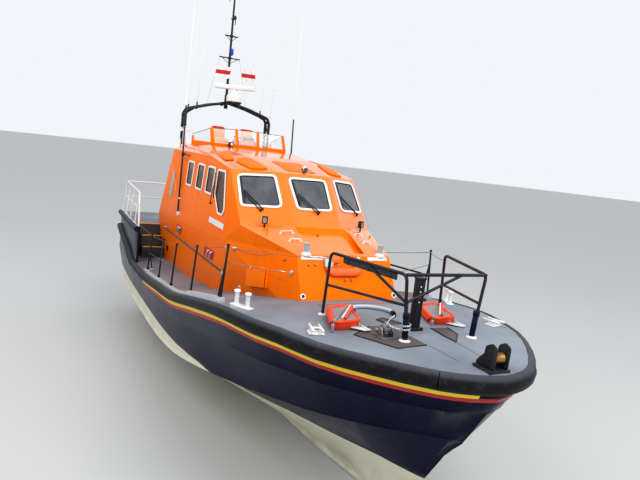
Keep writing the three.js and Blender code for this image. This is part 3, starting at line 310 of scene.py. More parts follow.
@dataclass(frozen=True)
class NonSlip(Finish):
    """Grit-coated deck paint, worn pale where feet and ropes run, darker where water stands."""

    colour: Point = (0.2, 0.222, 0.26)
    grit: float = 0.0012

    def paint(self, shader: Shader) -> None:
        """Builds the nodes."""
        clouds = shader.noise(0.7, 5, 0.6)
        marks = shader.noise(6, 5, 0.7).step(0.58, 0.75)
        grains = shader.cells(170)
        wet = shader.noise(1.1, 3).step(0.52, 0.66)
        pale = tuple(c * 1.25 for c in self.colour)
        dark = tuple(c * 0.72 for c in self.colour)
        colour = shader.blend(clouds.step(0.3, 0.7), dark, pale)
        colour = shader.blend(marks * 0.25, colour, tuple(c * 1.7 for c in self.colour))
        shader.surface_set(
            Base_Color=shader.blend(grains.step(0.5, 0.15) * 0.18, colour, pale),
            Roughness=0.62 - wet * 0.22 + marks * 0.1)
        shader.bump(1 - grains.step(0, 0.6), 0.7, self.grit)


@dataclass(frozen=True)
class Rubber(Finish):
    """Black moulded rubber with grey scuffs, and a painted pale sheen of sky on its upper face."""

    colour: Point = (0.012, 0.012, 0.014)
    # Pale colour of the painted sky sheen on upward faces
    sheen_top_colour: Point = (0.085, 0.09, 0.105)

    def paint(self, shader: Shader) -> None:
        """Builds the nodes."""
        facing = shader.node("ShaderNodeNewGeometry", output="Normal")
        up = shader.node("ShaderNodeSeparateXYZ", None, {"Vector": facing}, "Z")
        scuffs = shader.noise(11, 5, 0.7, (0.35, 1, 1)).step(0.52, 0.78)
        # Painted highlight: upward faces are blended towards a pale grey that stands for the sky's reflection, mottled
        # by noise
        painted_sheen_mask = up.step(0.35, 0.95) * (0.45 + shader.noise(2, 4) * 0.6)
        colour = shader.blend(painted_sheen_mask, self.colour, self.sheen_top_colour)
        shader.surface_set(
            Base_Color=shader.blend(scuffs * 0.14, colour, (0.22, 0.21, 0.2)),
            Roughness=0.45 + scuffs * 0.25 + painted_sheen_mask * 0.15, Specular_IOR_Level=0.12)
        shader.bump(shader.noise(45, 4) * 0.5 + scuffs * 0.5, 0.6, 0.002)


@dataclass(frozen=True)
class Metal(Finish):
    """Bare metal with a brushed grain, stains and dull patches."""

    colour: Point = (0.55, 0.56, 0.57)
    roughness: float = 0.32
    stain: Point = (0.12, 0.1, 0.08)

    def paint(self, shader: Shader) -> None:
        """Builds the nodes."""
        grain = shader.noise(60, 3, 0.6, (1, 1, 0.15))
        stains = shader.noise(5, 5, 0.65).step(0.5, 0.8)
        shader.surface_set(
            Base_Color=shader.blend(stains * 0.45, self.colour, self.stain), Metallic=1 - stains * 0.4,
            Roughness=self.roughness + grain * 0.15 + stains * 0.25)
        shader.bump(grain, 0.3, 0.0005)


@dataclass(frozen=True)
class Glazing(Finish):
    """Tinted or clear pane with a film of salt. The darker panes' base colours are partly painted reflection and shade.
    """

    # The default grey stands partly for painted sky reflection: it is lighter than a clear pane over a dark cabin
    colour: Point = (0.07, 0.075, 0.085)
    alpha: float = 0.82
    haze: float = 0.15
    shine: float = 0.7
    coat: float = 0.5

    def paint(self, shader: Shader) -> None:
        """Builds the nodes."""
        film = shader.noise(3, 5, 0.65, (1, 1, 0.5)).step(0.35, 0.85)
        drops = shader.cells(38).step(0.16, 0.05) * shader.noise(4).step(0.5, 0.6)
        veil = film * self.haze + drops * 0.2
        shader.surface_set(
            Base_Color=shader.blend(veil, self.colour, (0.6, 0.62, 0.64)), Roughness=0.04 + film * 0.08 + drops * 0.2,
            Alpha=(veil * 0.8 + self.alpha).math("MINIMUM", 1), Coat_Weight=self.coat, Specular_IOR_Level=self.shine)


@dataclass(frozen=True)
class Vinyl(Finish):
    """Grained upholstery vinyl with creases and shiny worn spots."""

    colour: Point = (0.02, 0.02, 0.026)
    roughness: float = 0.5

    def paint(self, shader: Shader) -> None:
        """Builds the nodes."""
        grain = shader.cells(420)
        wear = shader.noise(5, 4).step(0.45, 0.75)
        creases = shader.noise(18, 4, 0.6, (1, 0.3, 1))
        pale = tuple(c * 1.35 + 0.008 for c in self.colour)
        shader.surface_set(Base_Color=shader.blend(wear * 0.5, self.colour, pale),
                           Roughness=self.roughness - wear * 0.15 + grain * 0.1)
        shader.bump(grain * 0.4 + creases * 0.6, 0.5, 0.0012)


@dataclass(frozen=True)
class Moulded(Finish):
    """Matt moulded plastic or lining with a fine stipple."""

    colour: Point = (0.35, 0.35, 0.34)
    roughness: float = 0.6

    def paint(self, shader: Shader) -> None:
        """Builds the nodes."""
        stipple = shader.noise(260, 2)
        dust = shader.noise(3, 4).step(0.45, 0.8)
        shader.surface_set(
            Base_Color=shader.blend(dust * 0.25, self.colour, tuple(c * 0.6 + 0.03 for c in self.colour)),
            Roughness=self.roughness + stipple * 0.12)
        shader.bump(stipple, 0.4, 0.0005)


ORANGE = Gloss("orange_topcoat", "orange", (1, 0.185, 0), 0.3, 0, 0.07, 0.14, 0.06)
# Up-facing faces: a glossier coat, and a base colour a shade lighter than the walls', which is a painted highlight
ORANGE_TOP_PAINTED_HIGHLIGHT = Gloss("orange_polished", "orange", (1, 0.195, 0), 0.14, 0.8, 0.08, 0.1, 0.4)
NAVY = Topsides("hull_paint", "navy")
NAVY_TOP = Gloss("navy_topcoat", "navy", (0.005, 0.006, 0.024), 0.25, 0.05, 0.12, 0.1, 0.2)
DECK = NonSlip("deck_nonslip", "deck_grey")
STEP_GREY = NonSlip("step_nonslip", "deck_grey", (0.055, 0.058, 0.066))
RUBBER = Rubber("fender_rubber", "rubber")
# Its second colour is the painted sheen on the hose's upper side
HOSE = Rubber("pale_hose", "white_paint", (0.42, 0.46, 0.5), (0.6, 0.63, 0.66))
BLACK = Chipped("black_enamel", "black_paint")
WHITE = Gloss("white_enamel", "white_paint", (0.8, 0.8, 0.77), 0.3, 0.3, 0.06, 0.25)
FRAME_WHITE = Gloss("window_frame_white", "white_paint", (0.82, 0.83, 0.81), 0.35, 0.2, 0.04, 0.12)
STEEL = Metal("galvanised_steel", "steel")
DARK_STEEL = Metal("worn_steel", "steel", (0.3, 0.3, 0.31), 0.4, (0.09, 0.08, 0.07))
BRIGHT = Metal("stainless_steel", "steel", (0.68, 0.69, 0.7), 0.2)
BRONZE = Metal("bronze", "bronze", (0.5, 0.27, 0.1), 0.3, (0.08, 0.09, 0.06))
# Grey base colour partly painted sky reflection
SKY_GREY_GLASS = Glazing("screen_glass_painted_sky", "glass")
# The brown base colour stands for the reflected timber building and the dark cabin behind: painted reflection and
# painted shade
BROWN_REFLECTION_GLASS = Glazing("side_glass_painted_reflection", "glass", (0.1, 0.046, 0.024), 0.92, 0.02, 0.2, 0.08)
CLEAR = Glazing("clear_screen", "glass", (0.75, 0.78, 0.8), 0.22, 0.1)
GASKET = Moulded("gasket", "rubber", (0.012, 0.012, 0.012), 0.55)
LINING = Moulded("cabin_lining", "deck_grey", (0.42, 0.41, 0.38), 0.7)
CONSOLE = Moulded("console_moulding", "seat_black", (0.035, 0.036, 0.04), 0.5)
SEAT_VINYL = Vinyl("crew_seat_vinyl", "seat_black")
SEAT_YELLOW = Vinyl("deck_seat_vinyl", "seat_yellow", (0.86, 0.3, 0.01), 0.45)
SEAT_RED = Vinyl("seat_cap_vinyl", "orange", (0.5, 0.012, 0.01), 0.45)
FLOAT_COVER = Vinyl("lifebuoy_cover", "orange", (0.98, 0.15, 0.02), 0.5)
PALE_BAND = Vinyl("lifebuoy_band", "white_paint", (0.35, 0.72, 0.72), 0.35)
ANCHOR_COVER = Vinyl("anchor_cover", "orange", (0.88, 0.06, 0.012), 0.42)
FLUKE_GREY = Metal("fluke_galvanising", "steel", (0.42, 0.43, 0.42), 0.5, (0.2, 0.19, 0.17))
HATCH_BROWN = NonSlip("hatch_nonslip", "deck_grey", (0.092, 0.074, 0.07))
LAMP_BLUE = Moulded("lamp_blue", "glass", (0.01, 0.04, 0.6), 0.25)
YELLOW = Gloss("yellow_paint", "seat_yellow", (0.85, 0.42, 0.02), 0.4, 0.1, 0.1, 0.25)
RED = Gloss("red_paint", "orange", (0.62, 0.012, 0.006), 0.35, 0.02, 0.1, 0.15)
STRIPE_YELLOW = Gloss("stripe_yellow", "seat_yellow", (0.8, 0.58, 0.015), 0.35, 0.02, 0.08, 0.15)
STRIPE_RED = Gloss("stripe_red", "orange", (0.42, 0.004, 0.006), 0.35, 0.02, 0.08, 0.1)
SCORE_LINE = Moulded("score_line", "orange", (0.42, 0.06, 0.004), 0.6)
STAY_PAINT = Gloss("stay_paint", "orange", (0.9, 0.4, 0.12), 0.4, 0.1)
VENT_GREY = Gloss("vent_enamel", "white_paint", (0.4, 0.45, 0.41), 0.5, 0.05, 0.1, 0.3)
TOE_GREY = Gloss("toe_rail_paint", "white_paint", (0.5, 0.52, 0.54), 0.5, 0.05, 0.1, 0.35)
FLAG_WHITE = Vinyl("flag_white", "white_paint", (0.72, 0.72, 0.7), 0.85)
FLAG_RED = Vinyl("flag_red", "orange", (0.5, 0.02, 0.02), 0.85)
ROPE = Vinyl("rope_lay", "white_paint", (0.4, 0.33, 0.22), 0.8)
WIRE = Metal("rigging_wire", "steel", (0.2, 0.19, 0.16), 0.45)


# Modelling, with the operators that a modeller uses


def pick(*pieces: Piece) -> None:
    """Selects these pieces alone. The first one is active."""
    bpy.ops.object.select_all(action="DESELECT")
    for piece in pieces:
        piece.select_set(True)
    bpy.context.view_layer.objects.active = pieces[0]


@contextmanager
def editing(piece: Piece, kind: str = "FACE") -> Iterator[bmesh.types.BMesh]:
    """Edit mode on one piece with all of it selected. The kind is VERT, EDGE or FACE."""
    pick(piece)
    bpy.ops.object.mode_set(mode="EDIT")
    bpy.ops.mesh.select_mode(type=kind)
    bpy.ops.mesh.select_all(action="SELECT")
    yield bmesh.from_edit_mesh(piece.data)
    bpy.ops.object.mode_set(mode="OBJECT")


def faced_out() -> None:
    """Turns all faces of the piece in edit mode outwards."""
    bpy.ops.mesh.select_all(action="SELECT")
    bpy.ops.mesh.normals_make_consistent(inside=False)


def modify(piece: Piece, kind: str, **settings: object) -> Piece:
    """Adds a modifier and applies it."""
    pick(piece)
    modifier = piece.modifiers.new(kind.lower(), kind)
    for key, value in settings.items():
        setattr(modifier, key, value)
    bpy.ops.object.modifier_apply(modifier=modifier.name)
    return piece


def soften(piece: Piece, width: float = 0, segments: int = 2, angle: float = 28, by_weight: bool = False) -> Piece:
    """Rounds the sharp edges and shades the rest smooth.

    Args:
        piece: what is rounded.
        width: width of the rounding.
        segments: facets across it.
        angle: edges flatter than this, in degrees, stay.
        by_weight: whether the edges' bevel weights choose.

    Returns:
        The piece.
    """
    if width > 0:
        modify(piece, "BEVEL", width=width, segments=segments, use_clamp_overlap=True, miter_outer="MITER_ARC",
               limit_method="WEIGHT" if by_weight else "ANGLE", angle_limit=radians(angle))
    pick(piece)
    bpy.ops.object.shade_smooth_by_angle(angle=radians(angle + 10))
    return piece


def settle(piece: Piece, name: str = "part") -> Piece:
    """Names a piece and puts its place into its mesh."""
    piece.name = piece.data.name = name
    pick(piece)
    bpy.ops.object.transform_apply(location=True, rotation=True, scale=True)
    return piece


def started(primitive: Callable[..., object], **settings: object) -> Piece:
    """A new primitive, selected alone, with its place in its mesh."""
    bpy.ops.object.select_all(action="DESELECT")
    primitive(**settings)
    return settle(bpy.context.object)


def copied(node: str, flat: float = 0.6) -> Piece:
    """A merged copy of a CAD node with no material. Faces within the flat angle, in degrees, become one."""
    piece = bpy.data.objects.new(node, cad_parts[node].data.copy())
    bpy.context.scene.collection.objects.link(piece)
    piece.data.materials.clear()
    pick(piece)
    if piece.data.has_custom_normals:
        bpy.ops.mesh.customdata_custom_splitnormals_clear()
    with editing(piece, "VERT"):
        bpy.ops.mesh.remove_doubles(threshold=MERGED)
        if flat > 0:
            bpy.ops.mesh.dissolve_limited(angle_limit=radians(flat))
    return piece


def weigh(piece: Piece, rule: Callable[[bmesh.types.BMEdge], float]) -> None:
    """Writes the edges' bevel weights by a rule."""
    with editing(piece, "EDGE") as mesh:
        layers = mesh.edges.layers.float
        layer = layers.get("bevel_weight_edge") or layers.new("bevel_weight_edge")
        for edge in mesh.edges:
            edge[layer] = rule(edge)


def lined(piece: Piece, finish: Finish, rule: Callable[[bpy.types.MeshPolygon], bool]) -> None:
    """Gives the faces that a rule picks a further finish."""
    piece.data.materials.append(finish.material())
    for face in piece.data.polygons:
        if rule(face):
            face.material_index = len(piece.data.materials) - 1


def again(piece: Piece, place: Matrix = Matrix()) -> Piece:
    """A copy with its own mesh, put in a place."""
    copy = piece.copy()
    copy.data = piece.data.copy()
    bpy.context.scene.collection.objects.link(copy)
    copy.matrix_world = place
    return settle(copy)


def removed(*pieces: Piece) -> None:
    """Deletes patterns that have been copied."""
    for piece in pieces:
        bpy.data.objects.remove(piece, do_unlink=True)


def block(size: Point, at: Point, turn: Point = (0, 0, 0), rounding: float = 0.01, segments: int = 2) -> Piece:
    """A block with rounded edges."""
    piece = started(bpy.ops.mesh.primitive_cube_add, size=1, location=at, rotation=turn, scale=size)
    return soften(piece, rounding, segments)


def turned(profile: Plan, at: Point, axis: Point = (0, 0, 1), sides: int = 24, angle: float = 35) -> Piece:
    """A turned piece, drawn up ring by ring from a disc.

    Args:
        profile: radius and height of each ring.
        at: foot of the axis.
        axis: direction of the axis.
        sides: points in each ring.
        angle: edges sharper than this stay sharp.

    Returns:
        The piece.
    """
    piece = started(
        bpy.ops.mesh.primitive_circle_add, vertices=sides, radius=profile[0][0], fill_type="NGON",
        location=(0, 0, profile[0][1]))
    with editing(piece):
        for (r0, h0), (r1, h1) in zip(profile, profile[1:]):
            bpy.ops.mesh.extrude_region_move(TRANSFORM_OT_translate={"value": (0, 0, h1 - h0)})
            bpy.ops.transform.resize(value=(r1 / r0, r1 / r0, 1))
        faced_out()
    piece.rotation_mode = "QUATERNION"
    piece.rotation_quaternion = UP.rotation_difference(Vector(axis))
    piece.location = at
    return soften(settle(piece), angle=angle)


def rod(start: Point, end: Point, radius: float, sides: int = 10, rounding: float = 0.15) -> Piece:
    """A straight bar between two places. Its end edges lose a share of the radius."""
    run, cut = Vector(end) - Vector(start), radius * rounding
    profile = [(radius - cut, 0), (radius, cut), (radius, run.length - cut), (radius - cut, run.length)]
    return turned(profile, start, run, sides)


def tube(runs: Sequence[Sequence[Point]], radius: float, ends: Point = (1, 1), fineness: int = 2) -> Piece:
    """Round bars or tubes along lines.

    Args:
        runs: the lines, each a list of points.
        radius: of the bar.
        ends: share of the radius at the first and the last point.
        fineness: 2 gives eight sides, 3 gives twelve.

    Returns:
        The piece as a mesh.
    """
    bpy.ops.object.select_all(action="DESELECT")
    bpy.ops.curve.primitive_nurbs_path_add()
    curve = bpy.context.object.data
    curve.splines.clear()
    curve.bevel_depth, curve.bevel_resolution, curve.use_fill_caps = radius, fineness, True
    for run in runs:
        spline = curve.splines.new("POLY")
        spline.points.add(len(run) - 1)
        for k, (point, at) in enumerate(zip(spline.points, run)):
            point.co = (*at, 1)
            point.radius = ends[0] + (ends[1] - ends[0]) * k / max(1, len(run) - 1)
    bpy.ops.object.convert(target="MESH")
    return soften(settle(bpy.context.object), angle=40)


def plate(outline: Sequence[Point], thick: Vector, rounding: float = 0, segments: int = 2, width: float = 0) -> Piece:
    """A flat plate: an outline, drawn out along a vector.

    Args:
        outline: its corners.
        thick: the way it is drawn out.
        rounding: width of its edges' rounding.
        segments: facets across that.
        width: breadth of the frame that stays when its middle is taken out. 0 keeps it whole.

    Returns:
        The piece.
    """
    piece = started(bpy.ops.mesh.primitive_circle_add, vertices=len(outline), fill_type="NGON")
    for vertex, corner in zip(piece.data.vertices, outline):
        vertex.co = corner
    with editing(piece):
        if width > 0:
            bpy.ops.mesh.inset(thickness=width, use_even_offset=True)
            bpy.ops.mesh.delete(type="FACE")
            bpy.ops.mesh.select_all(action="SELECT")
        bpy.ops.mesh.extrude_region_move(TRANSFORM_OT_translate={"value": thick})
        faced_out()
    return soften(piece, rounding, segments)


def framed(outline: Sequence[Point], width: float, thick: Vector, rounding: float = 0) -> Piece:
    """A flat frame: a plate whose middle is taken out."""
    return plate(outline, thick, rounding, 3, width)


def strip(rows: Sequence[Sequence[Point]], thick: float) -> Piece:
    """A thin skin through equal rows of points, with a wall outwards."""
    along = len(rows[0])
    piece = started(bpy.ops.mesh.primitive_grid_add, x_subdivisions=along - 1, y_subdivisions=len(rows) - 1)
    for k, vertex in enumerate(piece.data.vertices):
        vertex.co = rows[k // along][k % along]
    return soften(modify(piece, "SOLIDIFY", thickness=thick, offset=1))


def joined(pieces: Sequence[Piece]) -> Piece:
    """One piece from several."""
    pick(*pieces)
    if len(pieces) > 1:
        bpy.ops.object.join()
    return bpy.context.view_layer.objects.active


def dress(name: str, made: Piece | Sequence[Piece], finish: Finish, body: str = "boat",
          replaced: Sequence[str] = ()) -> Piece:
    """Names a piece, gives it its finish and its body, and reports it.

    Args:
        name: the piece's name.
        made: a finished mesh, or several to be joined.
        finish: what covers it, unless it already has materials.
        body: the CAD body it rides on.
        replaced: CAD nodes that it stands for.

    Returns:
        The piece.
    """
    piece = settle(made if isinstance(made, Piece) else joined(made), name)
    if not piece.data.materials:
        piece.data.materials.append(finish.material())
    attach(piece, body)
    if replaced:
        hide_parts(*replaced)
    LOG.info("%s: %d faces on %s", name, len(piece.data.polygons), body)
    return piece


def paired(name: str, made: Piece | Sequence[Piece], finish: Finish, replaced: str = "") -> None:
    """Dresses a starboard piece and its mirror image, which stand for a pair of CAD nodes or none."""
    nodes = [[f"{replaced}_{side.label}"] if replaced else [] for side in Side]
    piece = dress(f"{name}_starboard", made, finish, replaced=nodes[0])
    mirrored = again(piece, Matrix.Diagonal((1, -1, 1, 1)))
    with editing(mirrored):
        faced_out()
    dress(f"{name}_port", mirrored, finish, replaced=nodes[1])


def softened(node: str, name: str, finish: Finish, width: float = 0, segments: int = 2, body: str = "boat",
             angle: float = 28, flat: float = 0.6) -> None:
    """Copies a CAD node, softens the copy and dresses it in the node's place."""
    dress(name, soften(copied(node, flat), width, segments, angle), finish, body, [node])


def coated(piece: Piece, finish: Finish) -> Piece:
    """Gives a part of a piece its own finish before it is joined."""
    piece.data.materials.clear()
    piece.data.materials.append(finish.material())
    return piece


def fillet(points: Sequence[Point], radius: float, closed: bool = False, steps: int = 4) -> list[Vector]:
    """Rounds the corners of a line.

    Args:
        points: its corners.
        radius: of each rounding, less where a side is short.
        closed: whether the last point joins the first.
        steps: chords in each rounding.

    Returns:
        The line with its roundings.
    """
    corners = [Vector(p) for p in points]
    count = len(corners)
    line: list[Vector] = []
    for i, corner in enumerate(corners):
        if not closed and i in (0, count - 1):
            line.append(corner)
            continue
        back, ahead = corners[i - 1] - corner, corners[(i + 1) % count] - corner
        angle = back.angle(ahead)
        reach = min(radius / max(tan(angle / 2), TINY), back.length * 0.49, ahead.length * 0.49)
        start, end = corner + back.normalized() * reach, corner + ahead.normalized() * reach
        for k in range(steps + 1):
            t = k / steps
            line.append(start.lerp(corner, t).lerp(corner.lerp(end, t), t))
    return line


def between(start: Point, end: Point, count: int = 6) -> list[tuple[float, ...]]:
    """Evenly spaced places on a line, with both its ends."""
    return [tuple(a + (b - a) * k / count for a, b in zip(start, end)) for k in range(count + 1)]


def rectangle(centre: Vector, across: Vector, up: Vector) -> list[Vector]:
    """Four corners round a centre, from half the width and half the height."""
    return [centre - across - up, centre + across - up, centre + across + up, centre - across + up]


def smooth_line(points: Sequence[Point], steps: int) -> list[Vector]:
    """A centripetal Catmull-Rom line through points."""
    ends = [Vector(p) for p in points]
    guides = [ends[0] * 2 - ends[1], *ends, ends[-1] * 2 - ends[-2]]
    line = []
    for i in range(1, len(guides) - 2):
        p0, p1, p2, p3 = guides[i - 1:i + 3]
        knots = [0]
        for a, b in ((p0, p1), (p1, p2), (p2, p3)):
            knots.append(knots[-1] + max((b - a).length, TINY) ** 0.5)
        t0, t1, t2, t3 = knots
        for k in range(steps):
            t = t1 + (t2 - t1) * k / steps
            a1 = p0 * ((t1 - t) / (t1 - t0)) + p1 * ((t - t0) / (t1 - t0))
            a2 = p1 * ((t2 - t) / (t2 - t1)) + p2 * ((t - t1) / (t2 - t1))
            a3 = p2 * ((t3 - t) / (t3 - t2)) + p3 * ((t - t2) / (t3 - t2))
            b1 = a1 * ((t2 - t) / (t2 - t0)) + a2 * ((t - t0) / (t2 - t0))
            b2 = a2 * ((t3 - t) / (t3 - t1)) + a3 * ((t - t1) / (t3 - t1))
            line.append(b1 * ((t2 - t) / (t2 - t1)) + b2 * ((t - t1) / (t2 - t1)))
    return line + [ends[-1]]


def reading(table: Plan, x: float) -> float:
    """Linear reading of a table of places and values."""
    for (x0, v0), (x1, v1) in zip(table, table[1:]):
        if x <= x1:
            return v0 + (v1 - v0) * max(0, x - x0) / (x1 - x0)
    return table[-1][1]


def sideways(point: Point, side: float) -> Vector:
    """A point of the port half, put on a side: -1 is starboard."""
    return vec(point[0], side * point[1], point[2])


def shrunk(outline: Sequence[Vector], margin: float, normal: Vector) -> list[Vector]:
    """A closed flat outline, counter-clockwise about its normal, moved inwards all round."""
    line = []
    for i, place in enumerate(outline):
        before = normal.cross((place - outline[i - 1]).normalized())
        after = normal.cross((outline[(i + 1) % len(outline)] - place).normalized())
        inward = (before + after).normalized()
        line.append(place + inward * (margin / max(0.3, inward.dot(before))))
    return line


def on_deck(x: float, y: float) -> float:
    """Height of the deck at a place."""
    return touched("deck", (x, y, 4), (0, 0, -1))[0].z


def edge_at(x: float) -> tuple[float, float]:
    """Half-breadth and height of the deck's edge."""
    return reading([(p.x, p.y) for p in SHEER], x), reading([(p.x, p.z) for p in SHEER], x)


def touched(node: str, origin: Point, direction: Point) -> Hit:
    """Where a ray first meets a CAD node.

    Args:
        node: the CAD node.
        origin: start of the ray.
        direction: its direction.

    Returns:
        The point and the surface's normal there. The start and the reversed direction where nothing is met.
    """
    place, normal, _, _ = skin(node).ray_cast(Vector(origin), Vector(direction).normalized())
    if place is None:
        return Vector(origin), -Vector(direction).normalized()
    return place, normal


@cache
def skin(node: str) -> BVHTree:
    """A CAD node's faces, ready for rays."""
    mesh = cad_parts[node].data
    return BVHTree.FromPolygons([v.co for v in mesh.vertices], [p.vertices for p in mesh.polygons])


class Side(Enum):
    """The two sides of the boat."""

    STARBOARD = -1
    PORT = 1

    @property
    def label(self) -> str:
        """The side's name as the frame writes it."""
        return self.name.lower()


# Hull and deck


SHEER = smooth_line(
    (
        (-8.05, 2.36, 0.95), (-6.5, 2.41, 0.94), (-5, 2.43, 0.94), (-3, 2.42, 0.95), (-1.35, 2.42, 1.12),
        (0.15, 2.42, 1.28), (1.59, 2.42, 1.57), (3.11, 2.4, 1.88), (3.9, 2.37, 2.01), (4.9, 2.26, 2.11),
        (5.46, 2.08, 2.15), (6.2, 1.82, 2.17), (6.9, 1.34, 2.19), (7.51, 0.76, 2.2), (7.77, 0.37, 2.215),
        (7.87, 0, 2.22)),
    5)


@dataclass
class Hull:
    """Hull, keel band, deck, fenders and the stripes under them."""

    belt: Plan = ((-8.05, 0.19), (1.59, 0.2), (3.9, 0.225), (7.87, 0.25))
    stripe_start: float = -3.2
    yellow_end: float = 7.8
    stripe_width: float = 0.07

    def build(self) -> None:
        """Makes every piece of the hull."""
        self.shell()
        self.fenders()
        self.stripes()

    def shell(self) -> None:
        """The painted hull, its keel band and the deck."""
        softened("hull", "hull_shell", NAVY, angle=22, flat=0.05)
        softened("deck", "deck_plating", DECK, angle=30, flat=0.05)
        softened("keel_band", "keel_shoe", STEEL, 0.004)
        for side in Side:
            softened(f"bilge_keel_{side.label}", f"bilge_keel_fin_{side.label}", NAVY, 0.008)

    def fenders(self) -> None:
        """The rubber along the hull's edge."""
        for node in ("bow_fender", *(f"{place}_fender_{side.label}" for place in ("side", "quarter") for side in Side)):
            softened(node, f"{node}_rubber", RUBBER, angle=50, flat=0)

    def stripes(self) -> None:
        """Yellow over red, right under the fender, from amidships to the stem."""
        line = [a.lerp(b, k / 4) for a, b in zip(SHEER, SHEER[1:]) for k in range(4)] + [SHEER[-1]]
        line = [p for p in line if p.x >= self.stripe_start]
        short = [p for p in line if p.x <= self.yellow_end]
        whole = [sideways(p, -1) for p in line] + [sideways(p, 1) for p in line[-2::-1]]
        dress("stripe_red", self.stripe(whole, self.stripe_width), STRIPE_RED)
        for side in Side:
            run = self.stripe([sideways(p, side.value) for p in short], 0)
            dress(f"stripe_yellow_{side.label}", run, STRIPE_YELLOW)

    def stripe(self, line: Sequence[Vector], drop: float) -> Piece:
        """One painted band on the hull.

        Args:
            line: points of the deck's edge above it.
            drop: how far its top is under the fender.

        Returns:
            The band.
        """
        rows = []
        for level in range(3):
            row = []
            for i, p in enumerate(line):
                run = line[min(i + 1, len(line) - 1)] - line[max(i - 1, 0)]
                out = vec(run.y, -run.x, 0).normalized()
                if out.dot(vec(p.x - 4, p.y * 3, 0)) < 0:
                    out.negate()
                z = p.z - reading(self.belt, p.x) - 0.005 - drop - self.stripe_width * level / 2
                place, normal = touched("hull", vec(p.x, p.y, z) + out * 0.6, -out)
                row.append(place + normal * 0.004)
            rows.append(row)
        return strip(rows, 0.003)


# Deckhouse


@dataclass
class Deckhouse:
    """Trunk, wheelhouse with its recess and openings, roof with the sunk upper cockpit, sole and aft door."""

    corner: float = 0.03
    narrow: float = 0.3
    seam: float = 0.1
    split: Plan = ((-6, 2.2667), (4.5, 2.902))
    roof_split: Plan = ((-6, 4.265), (-0.75, 4.285), (2.4, 4.1))
    core: Plan = ((-4.5, 2.9), (1.3, 2.9), (2.6, 2.2))
    top_slope: float = 0.55
    cockpit: tuple[float, float] = (-2.7, 4.34)
    inside_front: float = 1.9
    small_face: float = 0.02
    broad: float = 0.08
    long_edge: float = 0.25

    def build(self) -> None:
        """Makes the mouldings."""
        for node, name in (("deckhouse_trunk", "trunk_moulding"), ("wheelhouse", "wheelhouse_moulding"),
                           ("wheelhouse_roof", "roof_moulding")):
            piece = coated(copied(node), ORANGE)
            # Faces that look up get the glossier orange with its painted lighter tone
            lined(piece, ORANGE_TOP_PAINTED_HIGHLIGHT, lambda face: face.normal.z > self.top_slope)
            if name == "roof_moulding":
                lined(piece, LINING, lambda face: face.normal.z < -0.9)
                lined(piece, DECK,
                      lambda f: f.normal.z > 0.99 and f.center.z < self.cockpit[1] and f.center.x < self.cockpit[0])
            else:
                lined(piece, LINING, self.is_lining)
            weigh(piece, self.weight)
            dress(name, soften(piece, self.corner, 3, 24, True), ORANGE, replaced=[node])
        softened("wheelhouse_sole", "sole_board", STEP_GREY, 0.004)
        softened("wheelhouse_door", "aft_door_leaf", ORANGE, 0.01, 3, "door")
        self.door_fittings()

    def door_fittings(self) -> None:
        """Hinges, lever and a round light on the aft door, and a hand rail each side of it."""

        def spot(node: str, y: float, z: float) -> Vector:
            """A place on the aft wall."""
            return touched(node, (ASTERN, y, z), (1, 0, 0))[0]

        leaf, lean = "wheelhouse_door", atan2(0.405, 0.914)
        normal, up = vec(-0.914, 0, 0.405), vec(0.405, 0, 0.914)
        metal = []
        for z in (2.65, 3.2, 3.75):
            place = spot(leaf, 0.205, z)
            metal.append(block((0.01, 0.19, 0.05), place + normal * 0.002, (0, lean, 0), 0.004))
            pin = spot(leaf, 0.32, z)
            metal.append(rod(pin - up * 0.05, pin + up * 0.05, 0.013, 14, 0.3))
        place = spot(leaf, -0.25, 3.1)
        metal.append(turned(((0.03, -0.002), (0.03, 0.01), (0.016, 0.018), (0.014, 0.05)), place, normal, 18))
        grip = place + normal * 0.045
        metal.append(rod(grip, grip + up * 0.13, 0.011, 12, 0.4))
        dress("aft_door_metal", metal, BRIGHT, "door")
        light = spot(leaf, 0, 3.55)
        rim = ((0.115, 0.002), (0.118, 0.014), (0.135, 0.018), (0.15, 0.012), (0.152, -0.002))
        dress("aft_door_light_rim", turned(rim, light, normal, 36), FRAME_WHITE, "door")
        pane = ((0.122, -0.002), (0.122, 0.007), (0.06, 0.008))
        dress("aft_door_light", turned(pane, light, normal, 32), BROWN_REFLECTION_GLASS, "door")
        rails = []
        for side in (-1, 1):
            low, high = spot("wheelhouse", side * 0.56, 2.75), spot("wheelhouse", side * 0.56, 3.6)
            line = [low, low + normal * 0.065, high + normal * 0.065, high]
            rails.append(tube([fillet(line, 0.03)], 0.013, fineness=3))
            rails += [turned(((0.03, -0.004), (0.03, 0.006), (0.015, 0.012)), foot, normal, 14) for foot in (low, high)]
        dress("aft_hand_rails", rails, WHITE)

    def outside(self, normal: Vector, centre: Vector) -> bool:
        """Whether a face looks away from the middle of the house."""
        x = min(max(centre.x, self.core[0][0]), self.core[-1][0])
        middle = vec(x, 0, reading(self.core, x))
        return normal.dot((centre - middle).normalized()) > 0.05

    def is_lining(self, face: bpy.types.MeshPolygon) -> bool:
        """Whether a face is on the inside."""
        return not self.outside(
            face.normal, face.center) and face.center.x < self.inside_front and face.area > self.small_face

    def on_seam(self, place: Vector) -> bool:
        """Whether a place is on one of the joints between mouldings."""
        gaps = (abs(place.z - reading(table, place.x)) for table in (self.split, self.roof_split))
        return min(gaps) < 0.003

    def weight(self, edge: bmesh.types.BMEdge) -> float:
        """Wide on the mouldings' long corners, narrow on openings and seams, nothing inside."""
        if len(edge.link_faces) != 2 or edge.calc_face_angle(0) < radians(5):
            return 0
        wide = [f for f in edge.link_faces if f.calc_area() / max(e.calc_length() for e in f.edges) > self.broad]
        outer = [f for f in edge.link_faces if self.outside(f.normal, f.calc_center_median())]
        if not outer:
            return 0
        if all(self.on_seam(v.co) for v in edge.verts):
            return self.seam
        return 1 if len(wide) == 2 and len(outer) == 2 and edge.calc_length() > self.long_edge else self.narrow


